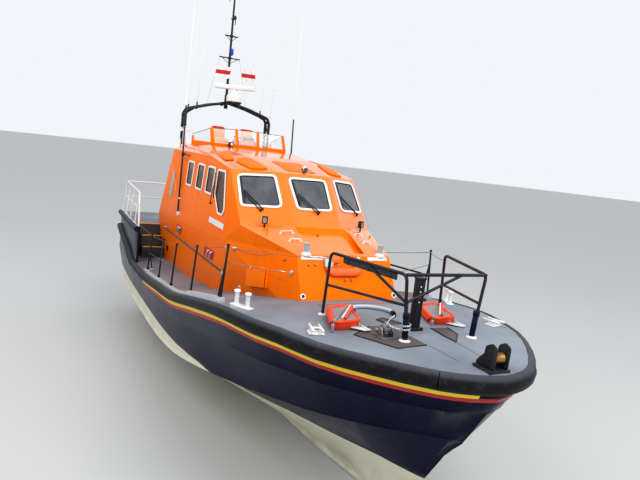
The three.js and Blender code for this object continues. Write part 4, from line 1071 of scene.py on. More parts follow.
@dataclass(frozen=True)
class Facet:
    """A four-cornered place on a wall, seen from outside: foot left, foot right, head right, head left."""

    corners: tuple[Point, ...]
    plane: tuple[Point, ...]

    @property
    def normal(self) -> Vector:
        """The outward normal of the wall."""
        a, b, c = (Vector(p) for p in self.plane)
        return (b - a).cross(c - a).normalized()

    @property
    def outline(self) -> list[Vector]:
        """The corners, put on the wall."""
        foot, normal = Vector(self.plane[0]), self.normal
        return [Vector(p) - normal * (Vector(p) - foot).dot(normal) for p in self.corners]

    def at(self, across: float, up: float, out: float = 0) -> Vector:
        """A place between the corners, by shares of the width and the height, and metres outwards."""
        a, b, c, d = self.outline
        return a.lerp(b, across).lerp(d.lerp(c, across), up) + self.normal * out


@dataclass
class Windows:
    """Windscreens and side windows with white frames, black seals and wipers."""

    frame_width: float = 0.055
    frame_height: float = 0.018
    seal: float = 0.014
    side_frame: float = 0.05
    side_rows: Sequence[Plan] = (
        ((-2.66, 3.46), (-2.06, 3.46), (-2.02, 4.12), (-2.62, 4.12)),
        ((-1.69, 3.46), (-1.06, 3.46), (-1.02, 4.12), (-1.65, 4.12)),
        ((-0.8, 3.46), (-0.19, 3.46), (-0.15, 4.12), (-0.76, 4.12)),
        ((0.45, 3.12), (0.75, 3.12), (0.88, 3.25), (0.6, 4.1), (0.02, 4.1), (0.02, 3.5)))

    def build(self) -> None:
        """Glazes the house."""
        screens = self.screens()
        for name, facet in screens.items():
            outline = fillet(facet.outline, 0.13, True)
            parts = self.glazed(outline, facet.normal, self.frame_width, 0.04)
            dress(f"screen_frame_{name}", parts[0], FRAME_WHITE, replaced=[f"windscreen_{name}"])
            dress(f"screen_seal_{name}", parts[1], GASKET)
            dress(f"screen_pane_{name}", parts[2], SKY_GREY_GLASS)
        self.side_windows()
        self.wipers(screens)

    def screens(self) -> dict[str, Facet]:
        """The three windscreens."""
        side = ((1.48, -1.46, 3.44), (1.93, -0.68, 3.5), (1.31, -0.66, 4.12), (0.91, -1.41, 4.07))
        plane = ((0.78, -1.52, 4.16), (2.3, -0.5, 3.2), (1.36, -0.55, 4.2))
        mirrored = [tuple(sideways(p, -1)) for p in side]
        other = [tuple(sideways(p, -1)) for p in plane]
        return {
            "starboard": Facet(side, plane),
            "centre": Facet(
                ((2.01, -0.42, 3.48), (2.01, 0.42, 3.48), (1.4, 0.46, 4.09), (1.4, -0.46, 4.09)),
                ((2.3, -0.5, 3.2), (2.3, 0.5, 3.2), (1.36, 0.55, 4.2))),
            "port": Facet((mirrored[1], mirrored[0], mirrored[3], mirrored[2]), (other[1], other[0], other[2]))}

    def glazed(self, outline: list[Vector], normal: Vector, width: float, margin: float) -> list[Piece]:
        """Frame, seal and pane of one window.

        Args:
            outline: outer edge of the frame.
            normal: outward direction.
            width: of the frame.
            margin: from the frame's outer edge to the opening.

        Returns:
            The three pieces.
        """
        lifted = [p + normal * 0.0006 for p in outline]
        ring = framed(lifted, width, normal * self.frame_height, 0.006)
        inner = shrunk([p - normal * 0.004 for p in outline], width - 0.004, normal)
        seal = framed(inner, self.seal + 0.004, normal * 0.014, 0.003)
        glass = shrunk([p - normal * 0.012 for p in outline], margin + 0.003, normal)
        pane = plate(glass, normal * 0.008)
        return [ring, seal, pane]

    def side_windows(self) -> None:
        """The four windows of each side."""
        parts: list[list[Piece]] = [[], [], []]
        for row in self.side_rows:
            foot, normal = touched("wheelhouse", (row[0][0], ABEAM, row[0][1]), (0, 1, 0))
            corners = [
                vec(x, foot.y - ((x - foot.x) * normal.x + (z - foot.z) * normal.z) / normal.y, z) for x, z in row]
            outline = fillet(corners, 0.1, True)
            for group, part in zip(parts, self.glazed(outline, normal, self.side_frame, 0.03)):
                group.append(part)
        for group, word, finish in zip(parts, ("frames", "seals", "panes"), (FRAME_WHITE, GASKET, BROWN_REFLECTION_GLASS)):
            paired(f"side_window_{word}", group, finish)

    def wipers(self, screens: dict[str, Facet]) -> None:
        """Two arms and a blade on each windscreen, parked by its left edge."""
        for name, pivot, tip, twin in (
                ("starboard", 0.48, 0.13, True), ("centre", 0.57, 0.13, True), ("port", 0.7, 0.13, False)):
            facet = screens[name]
            start, end = facet.at(pivot, -0.07, 0.03), facet.at(tip, 0.44, 0.03)
            gap = (end - start).normalized().cross(facet.normal) * 0.027
            pairs = [(start + gap, end + gap), (start - gap, end - gap)] if twin else [(start, end)]
            thick = 0.0115 if twin else 0.016
            parts = [rod(a, b, thick, 8) for a, b in pairs]
            parts += [rod(spot - gap * 1.7, spot + gap * 1.7, 0.012, 8) for spot in (start, end)]
            parts += [
                turned(
                    ((0.024, 0), (0.024, 0.026), (0.015, 0.036), (0.015, 0.05)), spot - facet.normal * 0.031,
                    facet.normal, 12)
                for spot in ((start + gap, start - gap) if twin else (start,))]
            blade = [facet.at(0.085, 0.9, 0.024), facet.at(0.1, 0.45, 0.022), facet.at(0.13, 0.14, 0.024)]
            parts.append(tube([smooth_line(blade, 5)], 0.015))
            dress(f"wiper_{name}", parts, BLACK)
        wall = touched("wheelhouse", (-0.14, ABEAM, 3.29), (0, 1, 0))
        foot = wall[0] + wall[1] * 0.03
        arm = [foot, foot + vec(0.06, 0, 0.3), foot + vec(0.13, 0.004, 0.42)]
        parts = [rod(wall[0], foot + wall[1] * 0.02, 0.02, 10), tube([arm], 0.009),
                 tube([[arm[2] + vec(0.03, 0.01, -0.28), arm[2] + vec(0.05, 0.01, 0.3)]], 0.012)]
        paired("side_wiper", parts, BLACK)


@dataclass
class HouseFittings:
    """What is fixed to the outside of the house."""

    wall_nodes: tuple[str, ...] = ("deckhouse_trunk", "wheelhouse", "wheelhouse_roof")

    def build(self) -> None:
        """Makes the fittings, mostly for starboard and mirrored."""
        self.floodlights()
        self.plates()
        self.vents()
        self.lockers()
        self.small_metal()
        self.recess_boxes()
        self.roof_mouldings()
        self.searchlight()
        self.horn()
        self.seams()

    def on_wall(self, place: Point, direction: Point) -> Hit:
        """Where a ray first meets the house, and the normal there."""
        hits = []
        for node in self.wall_nodes:
            hit, normal, _, reach = skin(node).ray_cast(Vector(place), Vector(direction).normalized())
            if hit is not None:
                hits.append((reach, hit, normal))
        _, hit, normal = min(hits, key=lambda h: h[0])
        return hit, normal

    def from_side(self, x: float, z: float) -> Hit:
        """A place on the starboard wall."""
        return self.on_wall((x, ABEAM, z), (0, 1, 0))

    def from_front(self, y: float, z: float) -> Hit:
        """A place on the front wall."""
        return self.on_wall((AHEAD, y, z), (-1, 0, 0))

    def from_above(self, x: float, y: float) -> Hit:
        """A place on the roof or the shoulders."""
        return self.on_wall((x, y, ABOVE), (0, 0, -1))

    def plate(
            self, finder: Callable[..., Hit], corners: Plan, thick: float, corner: float, rounding: float = 0) -> Piece:
        """A plate on the wall, its corners found from one side."""
        places = [finder(*pair) for pair in corners]
        foot, normal = places[0]
        points = [p - normal * (p - foot).dot(normal) + normal * LIFT for p, _ in places]
        outline = fillet(points, corner, True, 3) if corner > 0 else points
        return plate(outline, normal * thick, rounding)

    def floodlights(self) -> None:
        """Two black floodlights on brackets, one on each shoulder."""
        hit, _ = self.from_above(2.06, -1.12)
        ahead = vec(0.86, -0.42, 0).normalized()
        across = vec(0.42, 0.86, 0).normalized()
        centre = hit + vec(0, 0, 0.15)
        turn = atan2(ahead.y, ahead.x)
        case = block((0.07, 0.115, 0.15), centre, (0, 0, turn), 0.012, 3)
        parts = [case, rod(hit - vec(0, 0, 0.02), centre, 0.018)]
        parts += [block((0.03, 0.1, 0.008), centre - ahead * 0.045 + UP * dz, (0, 0, turn), 0.002, 1)
                  for dz in (-0.04, 0, 0.04)]
        rim = rectangle(centre + ahead * 0.036, across * 0.05, UP * 0.068)
        parts.append(framed(fillet(rim, 0.012, True, 3), 0.012, ahead * 0.008, 0.002))
        paired("floodlight", parts, BLACK)
        glass = rectangle(centre + ahead * 0.037, across * 0.04, UP * 0.058)
        paired("floodlight_glass", plate(glass, ahead * 0.003), CLEAR)

    def plates(self) -> None:
        """Blank plaque, louvred vent and white strips."""
        plaque = ((-0.14, 2.855), (0.96, 2.85), (0.96, 2.975), (-0.14, 2.985))
        paired("plaque", self.plate(self.from_side, plaque, 0.004, 0.012), WHITE)
        head = ((-0.93, 2.765), (-0.49, 2.765), (-0.49, 2.825), (-0.93, 2.825))
        paired("step_strip", self.plate(self.from_front, head, 0.012, 0, 0.003), WHITE)
        corners = [(-4.36, 2.97), (-4.06, 2.97), (-3.98, 3.7), (-4.28, 3.7)]
        parts = [self.plate(self.from_side, corners, 0.012, 0.02, 0.003)]
        for k in range(9):
            t = (k + 0.5) / 9
            low = [self.from_side(a + (b - a) * t, 2.97 + 0.73 * t) for a, b in ((-4.34, -4.26), (-4.08, -4))]
            ends = [p + n * 0.014 for p, n in low]
            parts.append(tube([ends], 0.012))
        paired("louvre", parts, VENT_GREY)

    def vents(self) -> None:
        """Grey ribbed mushroom vents on white bases at the top of the front wall."""
        hit, _ = self.from_above(3.44, -0.8)
        base = ((0.1, -0.02), (0.1, 0.012), (0.07, 0.03), (0.066, 0.055))
        paired("vent_base", turned(base, hit), WHITE)
        stack = [(0.052, 0)]
        for k in range(4):
            level = 0.02 + k * 0.035
            stack += [(0.052, level), (0.058, level + 0.006), (0.058, level + 0.02), (0.052, level + 0.026)]
        stack += [(0.052, 0.16), (0.062, 0.165), (0.06, 0.18), (0.03, 0.188)]
        paired("vent_stack", turned(stack, hit + UP * 0.03), VENT_GREY)

    def lockers(self) -> None:
        """The orange box on the angled wall, with its lid, hinges and catch."""
        left, right = self.from_side(2.16, 2.12)[0], self.from_side(2.86, 2.25)[0]
        along = (right - left).normalized()
        out = vec(along.y, -along.x, 0).normalized()
        middle = (left + right) / 2 + out * 0.02
        turn = atan2(along.y, along.x)
        lean = (radians(-7), -asin(along.z), turn)
        box = block((0.7, 0.1, 0.38), middle, lean, 0.012, 3)
        lid = block((0.68, 0.02, 0.36), middle + out * 0.062, lean, 0.008, 3)
        paired("wall_locker", [box, lid], ORANGE)
        paired("locker_seal", block((0.694, 0.012, 0.374), middle + out * 0.05, lean, 0.003), GASKET)
        metal = [
            block((0.06, 0.02, 0.03), middle + along * k + out * 0.06 + UP * 0.185, lean, 0.004) for k in (-0.22, 0.22)]
        metal.append(block((0.05, 0.016, 0.05), middle + out * 0.078 - UP * 0.15, lean, 0.005))
        paired("locker_metal", metal, BRIGHT)

    def small_metal(self) -> None:
        """Grab rails, drain rings with black discs of painted shade in their openings, the wire's eye and the small
        brass fittings.
        """
        rails = []
        for a, b in (((2.47, -0.93), (2.56, -0.71)), ((2.87, -0.9), (2.95, -0.7))):
            ends = [self.from_above(*p)[0] for p in (a, b)]
            lifted = [ends[0], ends[0] + UP * 0.045, ends[1] + UP * 0.045, ends[1]]
            rails.append(tube([fillet(lifted, 0.02)], 0.012))
            rails += [turned(((0.026, -0.01), (0.026, 0.006), (0.014, 0.012)), end, sides=12) for end in ends]
        paired("grab_rails", rails, WHITE)
        rings, shade_discs = [], []
        for place, normal in (self.from_side(1.69, 1.76), self.from_front(-0.97, 2.16)):
            profile = ((0.052, 0), (0.056, 0.006), (0.05, 0.014), (0.034, 0.014), (0.03, 0.006))
            rings.append(turned(profile, place, normal, 20))
            # A black disc in each ring stands for the shade inside the drain hole
            shade_discs.append(turned(((0.031, 0.004), (0.031, 0.0085), (0.02, 0.0087)), place, normal, 16))
        paired("drain_rings", rings, WHITE)
        paired("drain_hole_shades", shade_discs, GASKET)
        place, normal = self.from_side(3.47, 2.51)
        eye = [turned(((0.04, 0), (0.04, 0.012), (0.02, 0.02)), place, normal, 16),
               tube([loop_points(place + normal * 0.045, 0.028, normal, 12)], 0.009)]
        paired("wire_eye", eye, BRIGHT)
        brass = []
        spots = [self.from_side(1.59, 2.54), self.from_side(3.2, 2.69), self.from_above(2.37, -1.19),
                 self.from_front(-0.79, 2.68), self.from_front(-0.65, 2.68), self.from_front(-0.07, 2.42)]
        for place, normal in spots:
            profile = ((0.022, 0), (0.022, 0.012), (0.013, 0.02), (0.013, 0.035), (0.02, 0.04), (0.012, 0.05))
            brass.append(turned(profile, place, normal, 12))
        paired("brass_knobs", brass, BRONZE)
        place, normal = self.from_above(2.47, -0.11)
        bolt = ((0.035, 0), (0.035, 0.01), (0.018, 0.018), (0.018, 0.05), (0.008, 0.058))
        dress("recess_bolt", turned(bolt, place, normal, 14), BRONZE)

    def recess_boxes(self) -> None:
        """Red recessed panels with two bright handles, a black socket and the thin stay aft."""
        red, handles = [], []
        for outline in (((-0.56, 1.99), (0.22, 2.02), (0.4, 2.27), (-0.36, 2.26)),
                        ((-3.3, 2.08), (-2.7, 2.1), (-2.48, 2.35), (-3.1, 2.34))):
            red.append(self.plate(self.from_side, outline, 0.006, 0.04, 0.002))
            (left, low), (right, _), _, (top, high) = outline
            for share in (0.55, 0.82):
                x = left + (right - left) * share
                foot, normal = self.from_side(x, low + 0.04)
                head, _ = self.from_side(x + (top - left) * 0.7, high - 0.05)
                bend = [foot, foot + normal * 0.05, head + normal * 0.05, head]
                handles.append(tube([fillet(bend, 0.03)], 0.022))
        paired("red_panels", red, RED)
        paired("panel_handles", handles, BRIGHT)
        corners = [(-4.51, 1.3), (-4.39, 1.3), (-4.39, 1.46), (-4.51, 1.46)]
        paired("socket", self.plate(self.from_side, corners, 0.03, 0.015, 0.006), BLACK)
        high, normal = self.from_side(-4.44, 4)
        low, _ = self.from_side(-3.45, 3.2)
        stay = [high, high + normal * 0.05, low + normal * 0.05, low]
        paired("wall_stay", tube([fillet(stay, 0.03)], 0.011), STAY_PAINT)

    def roof_mouldings(self) -> None:
        """The hatch plate and the low raised moulding on the roof, and the cover plates round the mast lead."""
        hatch = ((-0.98, -1.36), (0, -1.4), (0.12, -1.22), (-0.74, -1.04))
        paired("roof_hatch", self.plate(self.from_above, hatch, 0.016, 0.04, 0.005), ORANGE)
        dome = ((0.95, -1.12), (1.1, -0.74), (0.12, -0.86), (0.05, -1.12), (0.3, -1.24))
        paired("roof_dome", self.plate(self.from_above, dome, 0.035, 0.09, 0.015), ORANGE)
        front = ((1.18, -0.34), (1.18, 0.34), (0.2, 0.36), (0.2, -0.36))
        dress("roof_cover_plate", self.plate(self.from_above, front, 0.012, 0.05, 0.004), ORANGE)
        bolts = []
        for x in (0.3, 0.65, 1.05):
            for y in (-0.3, 0.3):
                place, normal = self.from_above(x, y)
                bolts.append(turned(((0.014, 0), (0.014, 0.016), (0.008, 0.02)), place + normal * 0.01, normal, 8))
        dress("roof_plate_bolts", bolts, BRIGHT)

    def searchlight(self) -> None:
        """A white searchlight at the roof's front edge."""
        hit, _ = self.from_above(1.16, 0.05)
        centre = hit + vec(0.02, 0, 0.085)
        ahead = vec(0.96, 0, -0.28).normalized()
        drum = ((0.03, 0), (0.044, 0.014), (0.052, 0.05), (0.054, 0.11), (0.057, 0.114), (0.057, 0.128))
        dress("searchlight_shell", turned(drum, centre - ahead * 0.066, ahead, 28), WHITE)
        lens = ((0.051, 0), (0.051, 0.009), (0.035, 0.013), (0.014, 0.014))
        dress("searchlight_lens", turned(lens, centre + ahead * 0.061, ahead, 28), SKY_GREY_GLASS)
        yoke = [hit, hit + UP * 0.02, centre + vec(0, -0.066, -0.02), centre + vec(0, -0.066, 0.015)]
        other = [sideways(p, -1) + vec(0, 0.1, 0) for p in yoke]
        foot = turned(((0.045, -0.02), (0.045, 0.012), (0.022, 0.022)), hit, sides=18)
        dress("searchlight_yoke", [foot, tube([yoke, other], 0.012)], BLACK)

    def horn(self) -> None:
        """White post with two horns and a small lamp at the roof's aft corner."""
        foot, _ = self.from_above(-4.12, -1.36)
        top = foot + UP * 0.52
        parts = [
            rod(foot - UP * 0.02, top, 0.045, 14), turned(((0.07, 0), (0.07, 0.012), (0.04, 0.02)), foot, sides=16),
            rod(top + vec(0, -0.16, -0.05), top + vec(0, 0.2, -0.05), 0.014)]
        for dy in (-0.14, 0.18):
            bell = ((0.016, 0), (0.02, 0.06), (0.03, 0.1), (0.055, 0.15), (0.058, 0.156))
            parts.append(turned(bell, top + vec(-0.03, dy, -0.03), (1, 0, 0), 18))
        parts.append(turned(((0.03, 0), (0.05, 0.02), (0.05, 0.05), (0.02, 0.07)), top, sides=18))
        dress("horn_post", parts, WHITE)

    def seams(self) -> None:
        """Fine scored lines of the panels on the angled walls and the trunk."""
        outline = ((2.3, 2.98), (2.97, 2.9), (2.9, 2.69), (2.18, 2.75), (2.3, 2.98))
        lines = [outline, ((1.35, 2.1), (2, 2.08)), ((2.78, 2.33), (3.4, 2.32)), ((2.35, 2.42), (2.4, 2.62)),
                 ((-5, 2.05), (-3.5, 2.06)), ((-2.5, 2.06), (-0.7, 2.08))]
        runs = []
        for line in lines:
            run = []
            for ends in zip(line, line[1:]):
                for x, z in between(*ends):
                    hit, normal = self.from_side(x, z)
                    run.append(hit + normal * LIFT)
            runs.append(run)
        paired("panel_lines", tube(runs, 0.0028, fineness=0), SCORE_LINE)


def loop_points(centre: Vector, radius: float, axis: Vector, count: int, lean: float = 1) -> list[Vector]:
    """A closed ring of points round an axis, its first point repeated at the end."""
    spin = UP.rotation_difference(axis)
    ring = []
    for k in range(count + 1):
        angle = 2 * pi * k / count
        ring.append(centre + spin @ vec(radius * cos(angle), radius * lean * sin(angle), 0))
    return ring


# Soft goods


@dataclass(frozen=True)
class Pad:
    """A stuffed pad: the slab it starts from, and how it swells."""

    size: Point
    corner: float = 0.05
    puff: float = 0.02
    fill: float = 0.6
    taper: float = 1
    voxel: float = 0.014
    pressure: float = 4
    frames: int = 12

    def made(self) -> Piece:
        """The pad, lying at the origin, crowned by cloth under pressure and held to its puff."""
        piece = started(bpy.ops.mesh.primitive_cube_add, size=1, scale=self.size)
        for vertex in piece.data.vertices:
            if vertex.co.x > 0:
                vertex.co.y *= self.taper
        modify(
            piece, "BEVEL", width=self.corner, segments=4, affect="EDGES", limit_method="ANGLE", use_clamp_overlap=True)
        modify(piece, "REMESH", mode="VOXEL", voxel_size=self.voxel, use_smooth_shade=True)
        self.swell(piece)
        modify(piece, "SMOOTH", factor=0.5, iterations=3)
        bounds = [max(abs(v.co[k]) for v in piece.data.vertices) for k in range(3)]
        for vertex in piece.data.vertices:
            along, across = abs(vertex.co.x) / bounds[0], abs(vertex.co.y) / bounds[1]
            crown = (1 - along ** 4) * (1 - across ** 4)
            vertex.co.z *= 1 + (self.puff / self.size[2]) * (crown - 0.5)
        return soften(piece, 0, angle=60)

    def swell(self, piece: Piece) -> None:
        """Blows the pad up with the cloth solver, and caps how far a point moves."""
        rest = [v.co.copy() for v in piece.data.vertices]
        pick(piece)
        cloth = piece.modifiers.new("cloth", "CLOTH")
        cloth.settings.use_pressure = True
        cloth.settings.uniform_pressure_force = self.pressure
        cloth.settings.effector_weights.gravity = 0
        scene = bpy.context.scene
        for frame_number in range(1, self.frames + 1):
            scene.frame_set(frame_number)
        shaped = piece.evaluated_get(bpy.context.evaluated_depsgraph_get()).to_mesh()
        moved = [v.co.copy() for v in shaped.vertices]
        piece.evaluated_get(bpy.context.evaluated_depsgraph_get()).to_mesh_clear()
        piece.modifiers.remove(cloth)
        scene.frame_set(1)
        for vertex, start, end in zip(piece.data.vertices, rest, moved):
            step = end - start
            vertex.co = start + step * min(1, self.puff / max(step.length, TINY))


def laid(pad: Piece, at: Point, lean: float) -> Piece:
    """A copy of a pad, leaned back about its width and put in its place."""
    return again(pad, Matrix.Translation(at) @ Matrix.Rotation(lean, 4, "Y"))


# Inside and on top


@dataclass
class Inside:
    """Helm console and crew seats, seen through the glass."""

    seats: Plan = ((0.25, 0.7), (0.25, -0.7), (-1.1, 0.75), (-1.1, -0.75), (-2.5, 0.75), (-2.5, -0.75))
    sole: float = 2.25

    def build(self) -> None:
        """Fits out the wheelhouse."""
        self.console()
        self.crew_seats()

    def console(self) -> None:
        """The console with its screens, wheel and levers."""
        softened("helm_console", "console_moulding_body", CONSOLE, 0.03, 3)
        slope = vec(0.4, 0, 0.16).normalized()
        up = vec(-slope.z, 0, slope.x)
        screens, rims = [], []
        for y in (-0.75, -0.25, 0.25, 0.75):
            face = rectangle(vec(1.15, y, 3.2) + up * 0.012, slope * 0.12, vec(0, 0.17, 0))
            rims.append(framed(fillet(face, 0.02, True, 3), 0.02, up * 0.02, 0.004))
            screens.append(plate(face, up * 0.008))
        dress("console_screen_rims", rims, BLACK)
        dress("console_screens", screens, BROWN_REFLECTION_GLASS)
        centre = vec(0.93, 0.7, 3)
        ring = loop_points(centre, 0.17, vec(-0.9, 0, 0.4), 24)
        wheel = [tube([ring], 0.014), rod((0.9, 0.7, 3.01), (1.02, 0.7, 2.96), 0.03, 12)]
        wheel += [rod(centre, ring[k * 8], 0.009, 8) for k in range(3)]
        dress("helm_wheel", wheel, BLACK)

    def crew_seats(self) -> None:
        """Six sprung seats on their tracks: frames, and padded seats, backs and head rests."""
        frames = [block((3.3, 0.1, 0.04), (-1.15, side, self.sole), rounding=0.006) for side in (-0.75, 0.75)]
        for x, y in self.seats:
            frames += [block((0.28, 0.28, 0.44), (x, y, self.sole + 0.25), rounding=0.03),
                       block((0.44, 0.46, 0.05), (x, y, self.sole + 0.5), rounding=0.015)]
            back = [(x - 0.19, y - 0.2, self.sole + 0.6), (x - 0.3, y - 0.17, self.sole + 1.2),
                    (x - 0.3, y + 0.17, self.sole + 1.2), (x - 0.19, y + 0.2, self.sole + 0.6)]
            frames.append(tube([fillet(back, 0.06)], 0.018))
            for arm in (-0.25, 0.25):
                rest = [(x - 0.18, y + arm, self.sole + 0.75), (x + 0.12, y + arm, self.sole + 0.75)]
                frames.append(tube([rest], 0.024))
        dress("crew_seat_frames", frames, BLACK, replaced=["crew_seats"])
        seat = Pad((0.42, 0.44, 0.11), 0.035, 0.02).made()
        back = Pad((0.56, 0.4, 0.1), 0.035, 0.02, taper=0.85).made()
        head = Pad((0.16, 0.26, 0.08), 0.03, 0.012).made()
        for k, (x, y) in enumerate(self.seats, 1):
            for pattern, word, at, lean in (
                    (seat, "cushion", (x, y, self.sole + 0.59), 0), (back, "back", (x - 0.2, y, self.sole + 0.9), -1.4),
                    (head, "head_rest", (x - 0.26, y, self.sole + 1.2), -1.4)):
                pad = dress(f"crew_seat_{word}_{k}", laid(pattern, at, lean), SEAT_VINYL)
        removed(seat, back, head)


@dataclass
class Flybridge:
    """Coaming with posts and clear screens, upper helm, two seats and a lamp."""

    posts: Sequence[tuple[Point, Point]] = (
        ((-2.35, 1.03, 4.65), (-2.6, 1.03, 5.04)), ((-2.5, 0.3, 4.65), (-2.68, 0.31, 5.07)),
        ((-3.8, 1.18, 4.62), (-3.87, 1.18, 4.84)))
    floor: float = 4.33

    def build(self) -> None:
        """Fits out the upper cockpit."""
        softened("flybridge_coaming", "coaming_moulding", ORANGE, 0.018, 3)
        self.screens()
        self.helm()
        self.seats()
        self.lamp()

    def screens(self) -> None:
        """Clear screens between the posts."""
        outer, inner, aft = self.posts
        mirrored = [tuple(sideways(p, -1) for p in post) for post in self.posts]
        pairs = [
            (mirrored[0], mirrored[1]), (mirrored[1], inner), (inner, outer), (mirrored[2], mirrored[0]), (outer, aft)]
        panes, rims = [], []
        for (foot_a, head_a), (foot_b, head_b) in pairs:
            corners = [Vector(foot_a), Vector(foot_b), Vector(head_b), Vector(head_a)]
            corners[0] = corners[0].lerp(corners[3], 0.02)
            corners[1] = corners[1].lerp(corners[2], 0.02)
            corners[2:] = [corners[2] - UP * 0.02, corners[3] - UP * 0.02]
            normal = (corners[1] - corners[0]).cross(corners[3] - corners[0]).normalized()
            panes.append(plate(corners, normal * 0.006))
            rims.append(tube([[corners[3] + normal * 0.003, corners[2] + normal * 0.003]], 0.007))
        plates = []
        for foot, head in (*self.posts[:2], *mirrored[:2]):
            foot, head = Vector(foot), Vector(head)
            across = vec(-0.55 if abs(foot.y) > 0.5 else -0.15, copysign(0.9, foot.y), 0) * 0.05
            plates.append(
                plate(
                    [foot - across - UP * 0.05, foot + across - UP * 0.05, head + across * 0.8, head - across * 0.8],
                    vec(0.032, 0, 0), 0.008))
        dress("flybridge_posts", plates, ORANGE)
        dress("flybridge_screens", panes, CLEAR)
        dress("flybridge_screen_rims", rims, GASKET)

    def helm(self) -> None:
        """Wheel, instrument hood and levers on the upper helm."""
        centre = vec(-3.1, -0.05, 4.72)
        axis = vec(-0.8, 0, 0.6)
        ring = loop_points(centre, 0.16, axis, 24)
        parts = [tube([ring], 0.013), rod(centre, centre - axis.normalized() * 0.1, 0.025)]
        parts += [rod(centre, ring[k * 8], 0.008, 8) for k in range(3)]
        for y in (-0.24, -0.19):
            parts += [rod((-2.95, y, 4.72), (-3, y, 4.86), 0.008, 8),
                      turned(((0.012, 0), (0.02, 0.015), (0.02, 0.03), (0.01, 0.04)), (-3, y, 4.85), sides=12)]
        parts.append(block((0.12, 0.3, 0.1), (-2.86, 0.12, 4.82), (0, -0.3, 0), 0.02, 3))
        dress("upper_helm_wheel", parts, BLACK)

    def seats(self) -> None:
        """Two seats with yellow pads and red caps."""
        seat = Pad((0.42, 0.46, 0.1), 0.035, 0.02).made()
        back = Pad((0.38, 0.44, 0.1), 0.04, 0.024, taper=0.88).made()
        cap = Pad((0.1, 0.38, 0.14), 0.045, 0.012).made()
        for side in Side:
            y = 0.43 * side.value
            x = -3.7
            parts = [block((0.3, 0.3, 0.3), (x, y, self.floor + 0.153), rounding=0.03),
                     block((0.44, 0.46, 0.03), (x, y, self.floor + 0.315), rounding=0.01),
                     block((0.04, 0.42, 0.4), (x - 0.26, y, self.floor + 0.5), (0, -0.27, 0), 0.018, 3)]
            dress(f"flybridge_seat_shell_{side.label}", parts, WHITE, replaced=[f"flybridge_seat_{side.label}"])
            for pattern, word, at, lean, finish in (
                    (seat, "cushion", (x, y, self.floor + 0.385), 0, SEAT_YELLOW),
                    (back, "back", (x - 0.2, y, self.floor + 0.54), -1.3, SEAT_YELLOW),
                    (cap, "cap", (x - 0.27, y, self.floor + 0.73), -1.3, SEAT_RED)):
                pad = dress(f"flybridge_{word}_{side.label}", laid(pattern, at, lean), finish)
        removed(seat, back, cap)

    def lamp(self) -> None:
        """A small black lamp on the front of the coaming."""
        place, normal = touched("flybridge_coaming", (-1.5, -0.56, 4.6), (-1, 0, 0))
        ahead = vec(normal.x, normal.y, 0).normalized()
        turn = atan2(ahead.y, ahead.x)
        centre = place + ahead * 0.09 + UP * 0.05
        parts = [block((0.09, 0.12, 0.11), centre, (0, 0, turn), 0.016, 3),
                 block((0.1, 0.05, 0.02), place + ahead * 0.045, (0, 0, turn), 0.006)]
        dress("coaming_lamp", parts, BLACK)
        lens = ((0.036, 0), (0.036, 0.006), (0.026, 0.012), (0.01, 0.014))
        dress("coaming_lamp_lens", turned(lens, centre + ahead * 0.044, ahead, 20), WHITE)


